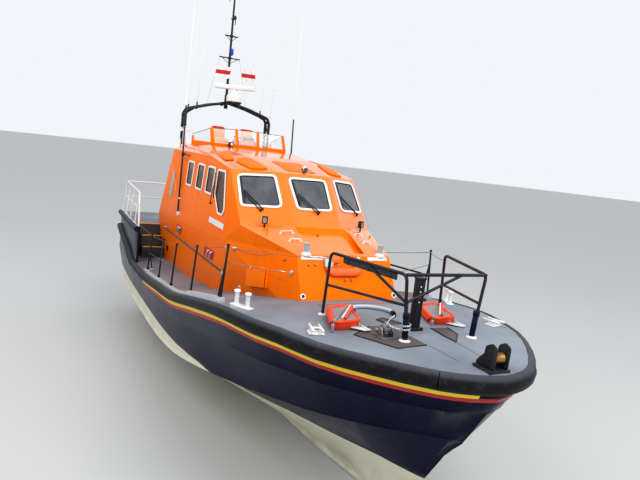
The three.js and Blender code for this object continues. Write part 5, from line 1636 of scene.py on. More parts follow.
@dataclass
class MastArch:
    """Twin-tube arch, pole mast, radar and the aerials on the arch. It folds aft on two feet."""

    pivot: Point = (-4.5, 1.3, 4.52)
    planes: tuple[float, float] = (-4.42, -4.72)
    half: Plan = ((1.3, 4.66), (1.3, 5.38), (1.225, 5.53), (0.6, 5.72), (0, 5.85))
    tube: float = 0.042
    braces: Plan = ((1.3, 5), (1.3, 5.38), (0.91, 5.625), (0.6, 5.72), (0.3, 5.785), (0, 5.85))
    mast: tuple[float, float] = (5.7, 9.6)
    mast_x: float = -4.83
    radar_x: float = -4.07
    scanner_z: float = 6.22
    fly: float = 0.5
    flag_grid: tuple[int, int] = (20, 6)
    aerials: Sequence[tuple[float, float, float]] = (
        (-1.2, 5.5, 8.9), (-0.95, 5.6, 8.8), (1.03, 5.58, 8.6), (1.34, 5.3, 8.2))
    yards: Sequence[tuple[float, float, float]] = ((7.82, 0.2, 0.02), (7.18, 0.32, 0.018))

    def build(self) -> None:
        """Makes the arch and what it carries, on the mast's body."""
        self.arch()
        self.pole()
        self.radar()
        self.whips()
        self.halyards()

    def arch(self) -> None:
        """The two bent tubes, the braces between them and the feet."""
        runs = []
        for x in self.planes:
            port = [(x, y, z) for y, z in self.half]
            starboard = [(x, -y, z) for y, z in self.half[-2::-1]]
            runs.append(fillet(port + starboard, 0.16, steps=6))
        parts = [tube(runs, self.tube, fineness=3)]
        cross = []
        for y, z in self.braces:
            cross += [
                [(self.planes[0], side * y, z), (self.planes[1], side * y, z)] for side in ((-1, 1) if y else (1,))]
        for (ya, za), (yb, zb) in zip(self.braces, self.braces[1:]):
            cross += [[(self.planes[0], side * ya, za), (self.planes[1], side * yb, zb)] for side in (-1, 1)]
        parts.append(tube(cross, 0.02))
        px, py, pz = self.pivot
        for side in (-1, 1):
            outline = [
                (px - 0.04, side * py - 0.045, pz - 0.01), (px + 0.04, side * py - 0.045, pz - 0.01),
                (self.planes[0] + 0.03, side * py - 0.045, 4.68), (self.planes[1] - 0.03, side * py - 0.045, 4.68)]
            parts += [plate(outline, vec(0, 0.09, 0), 0.012),
                      rod((px, side * py - 0.054, pz), (px, side * py + 0.054, pz), 0.038, 16)]
        for x, y, z in ((self.planes[0], 1.3, 5.05), (self.planes[1], 1.3, 5.05), (self.planes[0], 0.6, 5.72),
                        (self.planes[1], 0.6, 5.72)):
            parts += [rod((x, side * y, z - 0.03), (x, side * y, z + 0.03), 0.05, 14) for side in (-1, 1)]
        dress("arch_tubes", parts, BLACK, "mast", ["mast_arch"])

    def pole(self) -> None:
        """The pole mast with its yards, lamps and bracket."""
        low, high = self.mast
        x = self.mast_x
        parts = [tube([[(x, 0, low), (x, 0, 6.6), (x, 0, 8.2), (x, 0, high)]], 0.045, (1, 0.5), 3),
                 rod((x, 0, 5.78), (self.planes[1], 0, 5.86), 0.04, 12), rod((x, 0, 5.68), (x, 0, 6.1), 0.056, 16)]
        for z, reach, radius in self.yards:
            parts += [
                rod((x, -reach, z), (x, reach, z), radius, 10), rod((x, 0, z - 0.04), (x, 0, z + 0.04), 0.052, 14)]
            for side in (-1, 1):
                brace = [(x, side * reach * 0.75, z - 0.01), (x, 0, z - 0.16)]
                parts.append(tube([brace], 0.008))
        parts.append(block((0.19, 0.12, 0.03), (x + 0.085, 0, 8.31), rounding=0.006))
        for dx, dy in ((0.14, 0), (0.06, 0.05)):
            lamp = ((0.03, 0), (0.036, 0.01), (0.036, 0.06), (0.028, 0.075))
            parts.append(turned(lamp, (x + dx, dy, 8.32), sides=16))
        parts += [
            rod((x, 0, 8.95), (x + 0.02, -0.16, 9), 0.012),
            turned(((0.02, 0), (0.03, 0.01), (0.03, 0.05), (0.018, 0.06)), (x + 0.02, -0.15, 8.94), sides=14),
            rod((x + 0.12, 0.04, 8.3), (x + 0.12, 0.04, 8.14), 0.012),
            rod((x + 0.02, -0.15, 8.94), (x + 0.02, -0.15, 8.78), 0.009)]
        dress("pole_mast", parts, BLACK, "mast")
        dress("blue_lamp", rod((x + 0.09, 0.03, 7.27), (x + 0.09, 0.03, 7.45), 0.045, 20, 0.3), LAMP_BLUE, "mast")
        dress("blue_lamp_shelf", rod((x, 0, 7.26), (x + 0.12, 0.03, 7.26), 0.014), BLACK, "mast")
        glass = ((0.026, 0), (0.032, 0.01), (0.032, 0.05), (0.024, 0.06))
        dress("masthead_light", turned(glass, (x, 0, 9.54), sides=16), WHITE, "mast")

    def radar(self) -> None:
        """Radar platform, pedestal and the scanner bar that turns on it."""
        platform = [block((1, 0.36, 0.02), (-4.35, 0, 5.85), rounding=0.006)]
        for y in (-0.14, 0.14):
            platform += [rod((-4.8, y, 5.825), (-3.88, y, 5.825), 0.018),
                         rod((-3.95, y, 5.82), (self.planes[0], y * 2, 5.73), 0.016)]
        dress("radar_platform", platform, BLACK, "mast")
        foot = (self.radar_x, 0, 5.86)
        profile = ((0.2, 0), (0.222, 0.012), (0.225, 0.15), (0.212, 0.19), (0.19, 0.205), (0.135, 0.215), (0.115, 0.24),
                   (0.108, 0.3))
        dress("radar_pedestal", turned(profile, foot, sides=32), WHITE, "mast")
        bar = block((1.2, 0.15, 0.13), (0, 0, 0.065), rounding=0.03, segments=4)
        hub = turned(((0.068, -0.0595), (0.07, -0.05), (0.07, 0.005)), (0, 0, 0), sides=24)
        lip = block((1.18, 0.156, 0.006), (0, 0, 0.06), rounding=0.002, segments=1)
        scanner = joined([bar, hub, lip])
        scanner.matrix_world = (
            Matrix.Translation((self.radar_x, 0, self.scanner_z)) @ Matrix.Rotation(radians(55), 4, "Z"))
        dress("radar_scanner_bar", scanner, WHITE, "radar_scanner", ["radar_scanner"])

    def whips(self) -> None:
        """White whip aerials on black feet, standing on the arch."""
        whites, feet = [], []
        x, radius = -4.57, 0.012
        for y, z, top in self.aerials:
            feet += [rod((x, y, z - 0.06), (x, y, z + 0.16), 0.022, 12),
                     rod((self.planes[0], y, z), (self.planes[1], y, z), 0.014)]
            blown = 0.23 + 0.08 * y
            spots = [(x, y + blown * t ** 1.3, z + 0.15 + (top - z - 0.15) * t) for t in (0, 0.35, 0.36, 0.7, 1)]
            whites += [
                tube([spots[:2]], radius * 1.3, (1, 0.9)), tube([spots[1:]], radius * 0.8, (1, 0.45)),
                turned(((radius, 0), (radius * 1.7, 0.01), (radius * 1.7, 0.06), (radius, 0.07)), spots[1], sides=10),
                turned(((0.005, 0), (0.009, 0.006), (0.009, 0.014), (0.004, 0.02)), spots[-1], sides=8)]
        dress("arch_aerials", whites, WHITE, "mast")
        dress("arch_aerial_feet", feet, BLACK, "mast")

    def halyards(self) -> None:
        """Thin lines from the yard's ends to cleats on the arch, made fast at both ends, and two plain flags."""
        reach, runs = self.yards[1][1] - 0.01, []
        for side in Side:
            head = vec(self.mast_x, side.value * reach, 7.17)
            foot = vec(-4.72, side.value * 0.62, 5.76)
            runs.append([head, foot])
            low, high = head.lerp(foot, 0.43), head.lerp(foot, 0.18)
            columns, along, (wide, tall) = [], vec(0, 0, 0), self.flag_grid
            for k in range(wide + 1):
                columns.append([low.lerp(high, v / tall) + along for v in range(tall + 1)])
                angle = 1.35 + 0.75 * sin(2 * pi * k / 9 + side.value)
                along = along + vec(cos(angle), sin(angle), 0) * self.fly / wide
            middle = (low.z + high.z) / 2
            flag = coated(strip(columns, 0.0015), FLAG_WHITE)
            lined(flag, FLAG_RED, lambda face: abs(face.center.z - middle) < 0.06)
            dress(f"flag_{side.label}", flag, FLAG_WHITE, "mast")
        dress("halyards", tube(runs, 0.0035, fineness=1), ROPE, "mast")


@dataclass
class SideWhips:
    """The long black and white aerials on the house sides."""

    foot: Point = (-2.94, 1.675, 2.64)
    clamp: Point = (-3.15, 1.6, 4.26)
    top: float = 8.55
    change: float = 5.6
    blown: float = 0.16

    def build(self) -> None:
        """Makes one on each side."""
        lean = (self.clamp[0] - self.foot[0]) / (self.clamp[2] - self.foot[2])
        for side in Side:
            foot, clamp = sideways(self.foot, side.value), sideways(self.clamp, side.value)

            def along(z: float) -> Vector:
                """The aerial's middle at a height."""
                out = side.value * (1.6 + 0.075 * max(0, clamp.z - z) / 1.62)
                bend = self.blown * (max(0, z - clamp.z) / (self.top - clamp.z)) ** 1.4
                return vec(clamp.x + lean * (z - clamp.z), out + bend, z)

            parts = [rod(foot - UP * 0.03, clamp, 0.024, 12), tube([[clamp, along(self.change)]], 0.022, (1, 0.9), 3)]
            wall = vec(clamp.x, side.value * 1.52, clamp.z - 0.03)
            parts += [
                block((0.06, 0.09, 0.05), (wall + along(clamp.z)) / 2, rounding=0.01),
                rod(along(4.2), along(4.3), 0.034, 14), rod(along(4.24), vec(-2.6, side.value * 1.54, 4.24), 0.01)]
            name = f"whip_{side.label}"
            dress(f"{name}_black", parts, BLACK, replaced=[f"whip_aerial_{side.label}"])
            white = [tube([[along(self.change - 0.02), along(7), along(self.top)]], 0.018, (1, 0.4), 3),
                     rod(along(self.change - 0.05), along(self.change + 0.04), 0.026, 14),
                     block((0.13, 0.09, 0.11), foot + vec(0, -0.025 * side.value, 0), rounding=0.02, segments=3),
                     block((0.05, 0.1, 0.05), along(3.05) - vec(0, 0.03 * side.value, 0), rounding=0.012)]
            dress(f"{name}_white", white, WHITE)


# Foredeck


@dataclass
class Pulpit:
    """Bow frame of black tube, its navy feet, the board on its starboard rail."""

    front: tuple[float, float, float] = (6.5, 0.72, 0.61)
    aft: tuple[float, float, float] = (5, 1.13, 1.165)
    top: float = 3.2
    tube: float = 0.025

    def build(self) -> None:
        """Makes the frame and its feet."""
        (fx, fy, foot), (ax, ay, aft_foot) = self.front, self.aft
        hoop, mids, feet, plates = [], [], [], []
        for s in (-1, 1):
            deck = on_deck(fx, s * foot)
            back = on_deck(ax, s * aft_foot)
            line = [(fx, s * foot, deck), (fx, s * fy, self.top), (ax, s * ay, self.top), (ax, s * aft_foot, back)]
            hoop.append(fillet(line, 0.1, steps=6))
            mids.append([(fx, s * (foot + 0.06), 2.76), (ax, s * (ay + 0.015), 2.68)])
            feet += [rod((fx, s * foot, deck), (fx, s * (foot + 0.03), 2.64), 0.044, 20),
                     rod((fx, s * (foot + 0.026), 2.57), (fx, s * (foot + 0.03), 2.655), 0.051, 20)]
            for x, y, z, r in ((fx, s * foot, deck, 0.085), (ax, s * aft_foot, back, 0.07)):
                plates.append(turned(((r, -0.01), (r, 0.012), (r * 0.6, 0.016), (r * 0.55, 0.03)), (x, y, z), sides=20))
                for k in range(4):
                    angle = radians(45 + 90 * k)
                    spot = (x + r * 0.8 * cos(angle), y + r * 0.8 * sin(angle), z + 0.012)
                    plates.append(turned(((0.009, 0), (0.009, 0.01), (0.005, 0.013)), spot, sides=6))
        knee = (fx, -foot - 0.065, 2.8)
        stays = [[knee, (5.75, -0.926, self.top - 0.01)], [knee, (fx, 0.25, self.top - 0.005)],
                 [(fx + 0.005, -foot - 0.06, 2.83), (fx - 0.045, -foot + 0.02, 2.45), (fx - 0.05, -foot + 0.04, 2.25)]]
        cross = [[(fx, -fy, self.top), (fx, fy, self.top)]]
        parts = [tube(hoop, self.tube, fineness=3), tube(mids + stays, 0.022, fineness=3),
                 tube(cross, self.tube, fineness=3)]
        dress("pulpit_frame", parts, BLACK, replaced=["pulpit"])
        dress("pulpit_feet", feet, NAVY_TOP)
        dress("pulpit_flanges", plates, WHITE)
        start, end = vec(5.25, -1.045, 3.13), vec(6.3, -0.755, 3.13)
        run = (end - start).normalized()
        board = plate([start - UP * 0.045, end - UP * 0.055, end + UP * 0.045, start + UP * 0.045],
                      vec(run.y, -run.x, 0) * -0.03, 0.008)
        straps = [
            rod(start.lerp(end, t) - UP * 0.05, start.lerp(end, t) + UP * 0.09, 0.016, 8) for t in (0.1, 0.5, 0.9)]
        dress("rail_board_assembly", [board, *straps], CONSOLE)


@dataclass
class Foredeck:
    """Tow post, windlass, fairlead, anchors, bitts, cleats, hatches, hose and chain."""

    post: Point = (6.03, -0.12, 3.05)
    post_half: float = 0.062
    drum: Point = (6.29, -0.8, 2.35)
    roller: Point = (7.69, -0.03, 2.39)
    anchors: Plan = ((5.45, -1.1), (5.45, 0.68))
    bitts_at: tuple[float, float, float] = (4.02, -2.17, 25)
    anchor_turn: float = -0.5
    anchor_corners: Plan = ((-0.28, -0.2), (-0.6, 0.13), (0.34, 0.3), (0.58, -0.1))
    anchor_z: float = 2.33
    panels: Sequence[tuple[Plan, Sequence[int]]] = (
        (((5.82, -0.42), (5.8, -0.78), (6.08, -1.2), (6.74, -0.88), (6.72, -0.38)), (1, 2, 3, 4)),
        (((6.04, 0.2), (6.04, 0.52), (6.36, 0.46), (6.7, 0.16), (6.4, 0.16)), (1, 2, 3, 4, 0)),
        (((5.42, -0.3), (5.5, -0.46), (5.76, -0.4), (5.76, -0.16)), (2, 1, 0, 3)))
    link_radius: float = 0.016
    link_wire: float = 0.0055
    link_pitch: float = 0.026

    def build(self) -> None:
        """Makes the deck gear."""
        self.tow_post()
        self.windlass()
        self.fairlead()
        for side, spot in zip(Side, self.anchors):
            self.anchor(side, spot)
        self.bitts()
        self.cleats()
        self.hatches()
        self.painter()
        self.chain()

    def tow_post(self) -> None:
        """The square post with its collar, cap and cross pin."""
        (x, y, top), half = self.post, self.post_half
        deck = on_deck(x, y)
        parts = [
            block((2 * half, 2 * half, top - deck + 0.05), (x, y, (top + deck - 0.05) / 2), rounding=0.01, segments=3),
            block((2 * half + 0.08, 2 * half + 0.08, 0.06), (x, y, 2.26), rounding=0.01),
            block((2 * half + 0.02, 2 * half + 0.02, 0.026), (x, y, top - 0.012), rounding=0.008),
            rod((x, y - half - 0.07, 2.7), (x, y + half + 0.09, 2.7), 0.024, 18, 0.3)]
        dress("tow_post_column", parts, BLACK, replaced=["tow_post"])
        bits = [turned(((0.012, 0), (0.012, 0.008), (0.007, 0.012)), (x + half, y - 0.02, z), (1, 0, 0), 8)
                for z in (2.68, 2.76, 2.84, 2.92)]
        dress("tow_post_bolts", bits, WHITE)

    def windlass(self) -> None:
        """Windlass: bed, motor, cheeks and the drum that turns."""
        x, y, z = self.drum
        deck = on_deck(x, y)
        parts = [block((0.26, 0.24, 2.26 - deck + 0.03), (x - 0.02, y, (2.26 + deck - 0.03) / 2), rounding=0.01),
                 rod((x - 0.12, y - 0.115, 2.305), (x - 0.12, y + 0.115, 2.305), 0.03, 20),
                 block((0.05, 0.1, 0.09), (x - 0.122, y + 0.06, 2.302), rounding=0.014, segments=3)]
        for side in (-1, 1):
            mid = y + side * 0.095
            outline = [
                (x - 0.08, mid - 0.01, 2.255), (x + 0.08, mid - 0.01, 2.255), (x + 0.036, mid - 0.01, z + 0.02),
                (x + 0.02, mid - 0.01, z + 0.038), (x - 0.02, mid - 0.01, z + 0.038), (x - 0.036, mid - 0.01, z + 0.02)]
            parts.append(plate(outline, vec(0, 0.02, 0), 0.004))
        dress("windlass_frame", parts, DARK_STEEL, replaced=["windlass"])
        half = 0.065
        drum = ((0.074, -half), (0.08, -half + 0.005), (0.076, -half + 0.016), (0.05, -half + 0.024), (0.045, 0),
                (0.05, half - 0.024), (0.076, half - 0.016), (0.08, half - 0.005), (0.074, half))
        spool = [
            turned(drum, (x, y, z), (0, 1, 0), 32), rod((x, y - half - 0.045, z), (x, y + half + 0.045, z), 0.02, 14)]
        for k in range(6):
            angle = 2 * pi * k / 6
            at = (x + 0.052 * cos(angle), y, z + 0.052 * sin(angle))
            spool.append(block((0.022, 0.08, 0.01), at, (0, -angle, 0), 0.003))
        dress("windlass_spool", spool, DARK_STEEL, "windlass_drum", ["windlass_drum"])

    def fairlead(self) -> None:
        """Bow fairlead: two cheeks on a bed, and the bronze roller between them."""
        x, y, z = self.roller
        deck = on_deck(x, y) - 0.02
        parts = [block((0.34, 0.35, 2.265 - deck), (x - 0.06, y, (2.265 + deck) / 2), rounding=0.012)]
        for side in (-1, 1):
            mid = y + side * 0.111 - 0.01
            outline = [(x - 0.23, mid, 2.25), (x + 0.11, mid, 2.25), (x + 0.12, mid, 2.56), (x + 0.02, mid, 2.6),
                       (x - 0.09, mid, 2.54), (x - 0.1, mid, 2.44), (x - 0.22, mid, 2.31)]
            parts.append(plate(fillet(outline, 0.055, True, 4), vec(0, 0.02, 0), 0.005))
            parts += [rod((x + dx, mid - 0.012, z + dz), (x + dx, mid + 0.032, z + dz), 0.03 if dx == 0 else 0.014, 12)
                      for dx, dz in ((0, 0), (-0.12, -0.05), (0.07, -0.09))]
        dress("fairlead_cheeks", parts, BLACK, replaced=["bow_fairlead"])
        half = 0.095
        profile = ((0.07, -half), (0.075, -half + 0.006), (0.068, -half + 0.03), (0.062, 0), (0.068, half - 0.03),
                   (0.075, half - 0.006), (0.07, half))
        roller = [turned(profile, (x, y, z), (0, 1, 0), 32),
                  rod((x, y - half - 0.024, z), (x, y + half + 0.024, z), 0.018, 14)]
        dress("fairlead_roller", roller, BRONZE, "bow_roller", ["bow_roller"])

    def anchor(self, side: Side, spot: tuple[float, float]) -> None:
        """One anchor lying on deck, its edges in an orange cover.

        Args:
            side: which side it is on.
            spot: its middle in plan.
        """
        spin = Matrix.Rotation(self.anchor_turn, 4, "Z")

        def place(u: float, v: float, dz: float) -> Vector:
            """A place in the anchor's own frame."""
            return spin @ vec(u, v, 0) + vec(spot[0], spot[1], self.anchor_z + dz)

        rise = (0, 0, 0.03, 0.01)
        corners = [place(u, v, r) for (u, v), r in zip(self.anchor_corners, rise)]
        middle = (corners[0] + corners[1] + corners[2] + corners[3]) / 4
        inward = [c.lerp(middle, 0.06) for c in corners]
        loop = fillet(inward, 0.1, True, 5)
        thick, thin = loop[-3:] + loop[:len(loop) // 2], loop[len(loop) // 2 - 1:] + loop[:1]
        lower = [inward[1].lerp(inward[0], 0.2) - UP * 0.04, inward[0] - UP * 0.05,
                 inward[3].lerp(inward[0], 0.1) - UP * 0.055]
        cover = [tube([thick], 0.04, fineness=3), tube([thin], 0.028, fineness=3),
                 tube([fillet(lower, 0.1, steps=6)], 0.062, (0.7, 0.7), 3)]
        rim = fillet([c.lerp(middle, 0.05) - UP * 0.02 for c in corners], 0.12, True, 5)
        rim.append(rim[0])
        hem = [q.lerp(middle, 0.13) for q in rim]
        hem = [vec(q.x, q.y, on_deck(q.x, q.y) + 0.004) for q in hem]
        rows = [rim, [q.lerp(h, 0.45) + (q - middle).normalized() * 0.02 for q, h in zip(rim, hem)], hem]
        cover.append(strip(rows, 0.012))
        ridge_ends = inward[1].lerp(inward[2], 0.35) + UP * 0.05, inward[3].lerp(inward[2], 0.4) + UP * 0.03
        cover.append(tube([list(ridge_ends)], 0.026, (1.1, 0.7), 3))
        cover = modify(joined(cover), "SMOOTH", factor=0.4, iterations=1)
        dress(f"anchor_cover_{side.label}", cover, ANCHOR_COVER, replaced=[f"anchor_{side.label}"])
        band = [p + UP * 0.024 + vec(-0.03, -0.02, 0) for p in ridge_ends]
        dress(f"anchor_band_{side.label}", tube([band], 0.012), FRAME_WHITE)
        flukes = plate([c.lerp(middle, 0.12) - UP * 0.012 for c in corners], UP * 0.02, 0.006)
        ridge = rod(corners[1].lerp(middle, 0.1) + UP * 0.012, corners[3].lerp(middle, 0.1) + UP * 0.02, 0.02, 12)
        legs = []
        for u, v in self.anchor_corners:
            top = place(u * 0.96, v * 0.96, 0)
            legs.append(rod((top.x, top.y, on_deck(top.x, top.y) - 0.004), top, 0.022, 10))
        dress(f"anchor_flukes_{side.label}", [flukes, ridge, *legs], FLUKE_GREY)
        foot = [place(u, v, -0.083) for u, v in ((0.37, 0.13), (0.47, 0.38), (0.4, 0.47), (0.17, 0.3))]
        crown = [plate(foot, UP * 0.017, 0.004), tube([[place(0.2, 0.28, -0.055), place(0.44, 0.4, -0.058)]], 0.014)]
        dress(f"anchor_crown_{side.label}", crown, WHITE)

    def bitts(self) -> None:
        """White twin bitts on each side, turned in with the bow."""
        x, y, turn = self.bitts_at
        deck = on_deck(x, y) - 0.03
        parts = [block((0.46, 0.13, 0.04), (0, 0, 2.055), rounding=0.012, segments=3),
                 block((0.44, 0.12, 2.05 - deck), (0, 0, (2.05 + deck) / 2), rounding=0.006)]
        profile = ((0.05, 0), (0.04, 0.02), (0.037, 0.05), (0.037, 0.19), (0.045, 0.205), (0.055, 0.212),
                   (0.056, 0.235), (0.046, 0.248), (0.02, 0.252))
        parts += [turned(profile, (dx, 0, 2.072), sides=24) for dx in (-0.13, 0.13)]
        piece = joined(parts)
        piece.matrix_world = Matrix.Translation((x, y, 0)) @ Matrix.Rotation(radians(turn), 4, "Z")
        paired("bitts_posts", piece, WHITE, "bitts")

    def cleats(self) -> None:
        """White double cleats near the deck's edge, and small pad eyes."""
        x, y = 5.82, -1.68
        deck = on_deck(x, y)
        parts = []
        turn = radians(-14)
        spin = Matrix.Rotation(turn, 4, "Z")
        for v in (-0.07, 0.07):
            ends = [spin @ vec(u, v, 0) + vec(x, y, deck + 0.075) for u in (-0.17, 0.17)]
            parts.append(rod(ends[0], ends[1], 0.018, 14, 0.5))
            for u in (-0.05, 0.05):
                foot = spin @ vec(u, v, 0) + vec(x, y, deck - 0.005)
                parts.append(rod(foot, foot + UP * 0.08, 0.015))
        bar, middle = spin @ vec(0, 0.07, 0), vec(x, y, deck + 0.075)
        parts += [rod(middle - bar, middle + bar, 0.014),
                  block((0.2, 0.24, 0.012), (x, y, deck + 0.004), (0, 0, turn), 0.003)]
        paired("double_cleat", parts, WHITE)

    def hatches(self) -> None:
        """Brown grit-painted hatch plates round the windlass, with black seals, and fine deck seams."""
        plates, edges = [], []
        for outline, seal in self.panels:
            points = [vec(x, y, on_deck(x, y) + 0.001) for x, y in outline]
            plates.append(plate(points, UP * 0.008, 0.003))
            edges.append([points[k] + UP * 0.008 for k in seal])
        dress("foredeck_hatches", plates, HATCH_BROWN)
        dress("hatch_seals", tube(edges, 0.009), GASKET)
        seams = [
            [(x, y, on_deck(x, y) + 0.0008) for x, y in between(*ends)]
            for ends in (
                ((6.74, -0.36), (7.3, -0.31)), ((6.72, 0.17), (7.3, 0.14)), ((4.3, -0.9), (4.3, 0.9)),
                ((4.3, -0.9), (4.95, -0.6)), ((4.3, 0.9), (4.95, 0.6)))]
        dress("deck_seams", tube(seams, 0.003, fineness=0), GASKET)

    def painter(self) -> None:
        """The pale sleeved hose that lies in a bow on the foredeck, from a deck eye to its shackle."""
        radius = 0.034
        plan = ((5.02, -0.62), (4.9, -0.6), (4.79, -0.5), (4.72, -0.36), (4.74, -0.2), (4.84, -0.08), (4.98, 0),
                (5.14, 0.03), (5.28, 0))
        spots = [vec(x, y, on_deck(x, y) + radius + 0.002) for x, y in plan]
        route = smooth_line(spots, 4)
        length = sum((b - a).length for a, b in zip(route, route[1:]))
        hose = dress("painter_hose", tube([route], radius, fineness=4), HOSE)
        socket = ((0.05, -0.04), (0.05, -0.026), (0.042, -0.02), (0.042, 0.03), (0.03, 0.045))
        dress("painter_socket", turned(socket, route[0], route[0] - route[1], 18), BLACK)
        end = route[-1]
        run = (end - route[-2]).normalized()
        bow = loop_points(end + run * 0.075, 0.034, vec(-run.y, run.x, 0), 14)
        shackle = [rod(end - run * 0.05, end + run * 0.03, 0.04, 18), tube([bow], 0.011)]
        tool = dress("painter_shackle", shackle, BLACK)
        tuple(route[0])
        [tuple(p) for p in route]

    def chain(self) -> None:
        """Galvanised chain from the shackle over the windlass drum and round the pulpit's leg."""
        deck = on_deck(5.6, -0.3) + 0.02
        legx, legy = 6.5, -0.62
        spots = [(5.37, -0.02, deck), (5.48, -0.16, deck), (5.66, -0.34, deck), (5.86, -0.52, deck),
                 (6.04, -0.68, deck + 0.03), (6.16, -0.77, 2.36), (6.24, -0.8, 2.435), (6.3, -0.8, 2.445),
                 (6.36, -0.78, 2.42), (6.42, -0.72, 2.4), (6.455, -0.68, 2.4)]
        loop = []
        for k in range(18):
            angle = radians(215 + 40 * k)
            loop.append(vec(legx + 0.062 * cos(angle), legy + 0.062 * sin(angle), 2.4 + 0.006 * k))
        tail = [loop[-1] + vec(0, 0.01, -0.03), loop[-1] + vec(0.01, 0.02, -0.12), loop[-1] + vec(0.01, 0.02, -0.24)]
        line = smooth_line(spots, 8) + loop + tail
        link = tube([loop_points(vec(0, 0, 0), self.link_radius, UP, 10, 0.62)], self.link_wire)
        links, walked, k = [], 0, 0
        for a, b in zip(line, line[1:]):
            while walked <= (b - a).length:
                at = a.lerp(b, walked / max((b - a).length, TINY))
                spin = vec(1, 0, 0).rotation_difference((b - a).normalized()).to_matrix().to_4x4()
                links.append(again(link, Matrix.Translation(at) @ spin @ Matrix.Rotation(pi / 2 * (k % 2), 4, "X")))
                walked += self.link_pitch
                k += 1
            walked -= (b - a).length
        removed(link)
        dress("anchor_chain", links, BRIGHT)


# Rails and the aft deck


@dataclass
class Rails:
    """Stanchions on their toe rails, the wires between them and the stowed boat hooks."""

    posts: Sequence[float] = (-3.26, -1.81, -0.44, 1.3, 3.2)
    height: float = 1.04
    inset: float = 0.11
    lean: float = 0.07
    wire: float = 0.006

    def spot(self, x: float, share: float) -> Vector:
        """A place on the starboard stanchion at x, by share of its height."""
        half, z = edge_at(x)
        return vec(x, -(half - self.inset - self.lean * share), z + self.height * share)

    def build(self) -> None:
        """Makes both sides' rails."""
        self.toe_rail()
        self.stanchions()
        self.wires()

    def toe_rail(self) -> None:
        """The pale raised strip that carries the stanchions."""
        rows: list[list[Vector]] = [[], [], [], []]
        for x in (min(-3.5 + 0.2 * k, 3.4) for k in range(35)):
            half, z = edge_at(x)
            high = 0.045 + 0.055 * min(max((x - 0.9) / 0.3, 0), 1)
            for row, (dy, dz) in zip(rows, ((0.045, -0.01), (0.03, high), (-0.038, high), (-0.07, 0.01))):
                row.append(vec(x, -(half - self.inset + dy), z + dz))
        piece = strip(rows, -0.012)
        ends = [plate([row[k] for row in rows], vec(0.012 if k else -0.012, 0, 0), 0.002) for k in (0, -1)]
        paired("toe_rail", [piece, *ends], TOE_GREY, "side_rail")

    def stanchions(self) -> None:
        """Black posts with sockets, rings for the wires, the aft brace and the second leg forward."""
        parts, feet = [], []
        for x in self.posts:
            foot, top = self.spot(x, 0.03), self.spot(x, 1)
            lean = (top - foot).normalized()
            parts += [rod(foot, top, 0.021, 14), turned(((0.034, 0), (0.034, 0.09), (0.024, 0.1)), foot, lean, 16),
                      turned(((0.02, 0), (0.028, 0.008), (0.028, 0.026), (0.014, 0.036)), top - lean * 0.01, lean, 14)]
            for share in (0.5, 0.97):
                spot = self.spot(x, share)
                parts.append(rod(spot - lean * 0.012, spot + lean * 0.012, 0.029, 12))
            feet.append(block((0.16, 0.09, 0.012), self.spot(x, 0) + UP * 0.05, rounding=0.004))
        last = self.posts[-1]
        base, head = self.spot(last - 0.19, 0.03) + vec(0, 0.02, -0.01), self.spot(last, 0.76)
        parts.append(rod(base, head, 0.018, 12))
        first = self.posts[0]
        base = vec(first - 0.2, -(edge_at(first)[0] - 0.28), on_deck(first - 0.2, -2.14))
        parts.append(rod(base, self.spot(first, 0.5), 0.015, 10))
        feet.append(turned(((0.05, 0), (0.05, 0.01), (0.03, 0.016)), base, sides=14))
        paired("stanchions", parts, BLACK)
        paired("stanchion_feet", feet, WHITE)

    def sagging(self, start: Vector, end: Vector, sag: float) -> list[Vector]:
        """A wire between two places, hanging a little."""
        return [start.lerp(end, k / 8) - UP * sag * 4 * (k / 8) * (1 - k / 8) for k in range(9)]

    def wires(self) -> None:
        """Guard wires with their turnbuckles, and the long stowed boat hook."""
        tops = [self.spot(x, 0.97) for x in self.posts]
        mids = [self.spot(x, 0.5) for x in self.posts]
        pulpit = vec(5, -1.155, 3.1)
        aft_top = vec(-4.47, -2.4, 2.06)
        runs = [self.sagging(a, b, 0.012) for row in (tops, mids) for a, b in zip(row, row[1:])]
        eye = vec(3.47, -1.11, 2.51)
        runs += [self.sagging(tops[-1], pulpit, 0.03), self.sagging(self.spot(self.posts[-1], 0.72), eye, 0.015),
                 [tops[0], aft_top], self.sagging(vec(1.62, -1.6, 2.62), vec(2.9, -1.3, 2.72), 0.07)]
        paired("guard_wires", tube(runs, self.wire, fineness=1), WIRE)
        screws = []
        for start, end in ((tops[-1], pulpit), (tops[-1], tops[-2]), (mids[-1], mids[-2]), (mids[1], mids[2]),
                           (eye, self.spot(self.posts[-1], 0.72)), (pulpit, tops[-1])):
            run = (end - start).normalized()
            screws += [rod(start + run * 0.06, start + run * 0.17, 0.012, 12, 0.4),
                       rod(start + run * 0.02, start + run * 0.21, 0.0075, 8)]
        paired("turnbuckles", screws, BRIGHT)
        hook = [(-4.46, -1.69, 2.02), (3.16, -2.235, 2.41)]
        paired("boat_hook", tube([hook], 0.021, fineness=3), BLACK)
        clips = [block((0.06, 0.12, 0.06), (-4.3, -1.645, 2.03), rounding=0.01),
                 rod((3, -2.225, 2.402), (3.14, -2.234, 2.409), 0.027, 12)]
        paired("boat_hook_clips", clips, BRIGHT)


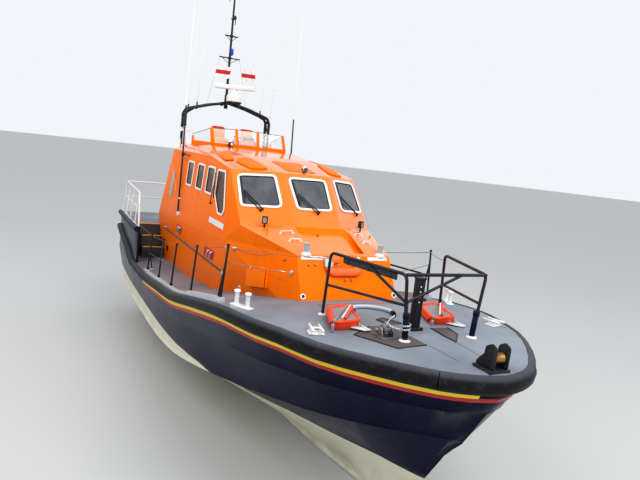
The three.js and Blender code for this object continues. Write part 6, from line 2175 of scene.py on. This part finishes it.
@dataclass
class AftDeck:
    """Raised aft quarter with its steps, bulwarks, transom door and white rail."""

    rail_posts: Sequence[float] = (-7.9, -6.98, -6.06, -5.15)
    rail_top: float = 3
    rail_middle: float = 2.49
    deck: float = 1.95

    def build(self) -> None:
        """Makes the aft end."""
        quarter = coated(copied("aft_quarter", 0.05), STEP_GREY)
        lined(quarter, DECK, lambda face: face.normal.z > 0.8 and face.center.z > 1.9)
        lined(quarter, NAVY_TOP, lambda face: face.normal.x < -0.8 and face.center.x < -7.8)
        dress("aft_quarter_moulding", soften(quarter, 0.012), STEP_GREY, replaced=["aft_quarter"])
        for side in Side:
            softened(f"bulwark_{side.label}", f"bulwark_plate_{side.label}", NAVY_TOP, 0.012)
        self.nosings()
        self.transom_door()
        self.stern_rail()

    def nosings(self) -> None:
        """Yellow step edges, and the pale cap on the bulwarks."""
        parts = [
            block((0.05, 0.66 if z < 1.9 else 0.72, 0.03), (x - 0.014, -1.835, z + 0.001), rounding=0.008, segments=3)
            for x, z in ((-5.4, 1.95), (-5.185, 1.62), (-4.985, 1.3))]
        paired("step_nosings", parts, YELLOW)
        xs = [-8, -7, -6, -5, -4.42]
        rows = [[vec(x, -(edge_at(x)[0] - inset), 2.003) for x in xs] for inset in (0.004, 0.056)]
        paired("bulwark_cap", strip(rows[::-1], 0.008), TOE_GREY)

    def transom_door(self) -> None:
        """The garage door with its stiffening frame and two handles, on its own body."""
        softened("transom_door", "transom_door_leaf", NAVY_TOP, 0.008, 3, "transom_door")
        handles = []
        for y in (-0.55, 0.55):
            handles += [block((0.012, 0.2, 0.07), (-8.051, y, 1.72), rounding=0.004),
                        rod((-8.057, y - 0.08, 1.72), (-8.057, y + 0.08, 1.72), 0.007, 12, 0.3)]
        dress("transom_door_handles", handles, BRIGHT, "transom_door")

    def stern_rail(self) -> None:
        """White tube rail round the aft deck."""

        def half(x: float) -> float:
            """Distance of the rail from the centreline."""
            return edge_at(x)[0] - 0.03 - 0.09

        end = self.rail_posts[0]
        runs, mids, posts, feet = [], [], [], []
        for s in (-1, 1):
            bottom = (-4.47, s * (edge_at(-4.47)[0] - 0.03), 2)
            line = [
                bottom, (-5.15, s * half(-5.15), 2.92), (end, s * half(end), self.rail_top), (end, 0, self.rail_top)]
            runs.append(fillet(line, 0.12, steps=5))
            middle = [
                (-4.81, s * half(-4.81), 2.44), (end, s * half(end), self.rail_middle), (end, 0, self.rail_middle)]
            mids.append(fillet(middle, 0.08, steps=4))
            for x in self.rail_posts:
                foot = vec(x, s * (edge_at(x)[0] - 0.03), 2)
                posts.append([foot, vec(x, s * half(x), 2.98 if x < -6 else 2.925)])
                feet.append(turned(((0.045, 0.002), (0.045, 0.012), (0.028, 0.02)), foot, sides=16))
            posts.append([(end, s * 0.75, self.deck), (end, s * 0.75, self.rail_top)])
            feet.append(turned(((0.05, 0.002), (0.05, 0.012), (0.03, 0.02)), (end, s * 0.75, self.deck), sides=16))
        parts = [tube(runs, 0.026, fineness=3), tube(mids, 0.02, fineness=3), tube(posts, 0.022, fineness=3)]
        dress("stern_rail_tubes", parts + feet, WHITE, replaced=["stern_rail"])


@dataclass
class Lifebuoy:
    """The orange horseshoe float on the front wall, with its pale bands and hook."""

    middle: tuple[float, float] = (-0.08, 2.66)
    width: float = 0.8
    height: float = 0.42
    pressed: float = 0.45

    def build(self) -> None:
        """Makes the float, its bands and its hook."""
        hit, normal = touched("deckhouse_trunk", (AHEAD, *self.middle), (-1, 0, 0))
        across = vec(0, 1, 0)
        up = normal.cross(across)
        centre = hit + normal * 0.055
        w, h = self.width / 2 - 0.09, self.height / 2 - 0.09
        flat = [(-0.3 * w, h), (-w, h), (-w, -h), (w, -h), (w, h), (0.5 * w, h)]
        line = fillet([centre + across * a + up * b for a, b in flat], 0.12, steps=6)
        limb = tube([line], 0.088, fineness=4)
        self.flatten(limb, centre, normal)
        dress("lifebuoy_float", soften(limb, angle=50), FLOAT_COVER)
        bands = []
        for share, reach in ((0.24, 0.08), (0.88, 0.03)):
            k = int(share * (len(line) - 1))
            run = (line[k + 1] - line[k]).normalized()
            bands.append(tube([[line[k] - run * reach, line[k] + run * reach]], 0.0895, fineness=4))
        band = joined(bands)
        self.flatten(band, centre, normal)
        dress("lifebuoy_bands", band, PALE_BAND)
        hook = [centre + across * a + up * b + normal * c
                for a, b, c in ((-0.24, -0.02, -0.05), (-0.24, -0.02, 0.07), (0.1, 0.04, 0.07), (0.12, -0.01, 0.07))]
        dress("lifebuoy_hook", tube([fillet(hook, 0.02)], 0.011), BRONZE)

    def flatten(self, piece: Piece, centre: Vector, normal: Vector) -> None:
        """Presses a piece flat against the wall."""
        for vertex in piece.data.vertices:
            vertex.co -= normal * (vertex.co - centre).dot(normal) * self.pressed


@dataclass
class RunningGear:
    """Propellers, shaft brackets and rudders."""

    def build(self) -> None:
        """Makes the running gear on its own bodies."""
        for side in Side:
            name = side.label
            softened(f"propeller_{name}", f"propeller_bronze_{name}", BRONZE, 0.004, body=f"propeller_{name}")
            softened(f"shaft_bracket_{name}", f"bracket_bronze_{name}", BRONZE, 0.006)
            softened(f"rudder_{name}", f"rudder_blade_{name}", BRONZE, 0.008, 3, f"rudder_{name}")


@dataclass
class Studio:
    """Camera, light and floor."""

    place: Point = (13.092, -5.544, 4.769)
    ahead: Point = (-0.8781, 0.4546, -0.1494)
    rightwards: Point = (0.4421, 0.8902, 0.1105)
    downwards: Point = (0.1832, 0.031, -0.9826)
    focal: float = 33.39
    sensor: float = 36
    floor_level: float = -1.435

    def build(self) -> None:
        """Makes the camera, the lamps and the floor."""
        self.camera()
        self.light()
        self.floor()

    def camera(self) -> None:
        """The camera at the photograph's viewing angle."""
        bpy.ops.object.camera_add(location=self.place)
        camera = bpy.context.object
        turn = Matrix((self.rightwards, [-c for c in self.downwards], [-c for c in self.ahead])).transposed()
        camera.rotation_mode = "QUATERNION"
        camera.rotation_quaternion = turn.to_quaternion()
        camera.data.sensor_width, camera.data.lens = self.sensor, self.focal
        camera.data.clip_start, camera.data.clip_end = 0.1, 1000
        bpy.context.scene.camera = camera

    def light(self) -> None:
        """A pale overcast sky and two large soft lamps."""
        scene = bpy.context.scene
        scene.view_settings.view_transform = "Standard"
        scene.view_settings.look = "Medium High Contrast"
        world = bpy.data.worlds.new("overcast")
        scene.world = world
        world.use_nodes = True
        sky = world.node_tree.nodes["Background"]
        sky.inputs["Color"].default_value = (0.93, 0.96, 1, 1)
        sky.inputs["Strength"].default_value = 0.8
        for at, size, power in (((18, 2, 20), 14, 3000), ((2, -18, 18), 14, 1250)):
            bpy.ops.object.light_add(type="AREA", location=at)
            lamp = bpy.context.object
            lamp.data.size, lamp.data.energy = size, power
            lamp.rotation_mode = "QUATERNION"
            lamp.rotation_quaternion = (-UP).rotation_difference(vec(0, 0, 1) - Vector(at))

    def floor(self) -> None:
        """A plain pale floor just under the keel."""
        bpy.ops.object.select_all(action="DESELECT")
        bpy.ops.mesh.primitive_circle_add(vertices=64, radius=250, fill_type="NGON", location=(0, 0, self.floor_level))
        floor = bpy.context.object
        floor.name = "studio_floor"
        shader = Shader("floor_paint")
        shader.surface_set(Base_Color=(0.56, 0.56, 0.55), Roughness=0.95)
        floor.data.materials.append(shader.material)


def main() -> None:
    """Builds the boat sub-assembly by sub-assembly."""
    for part in (Studio(), Foredeck(), Hull(), Deckhouse(), Windows(), HouseFittings(), Inside(), Flybridge(),
                 MastArch(), SideWhips(), Pulpit(), Rails(), AftDeck(), Lifebuoy(), RunningGear()):
        part.build()


if __name__ == "__main__":
    logging.basicConfig(level=logging.INFO, format="%(message)s")
    main()
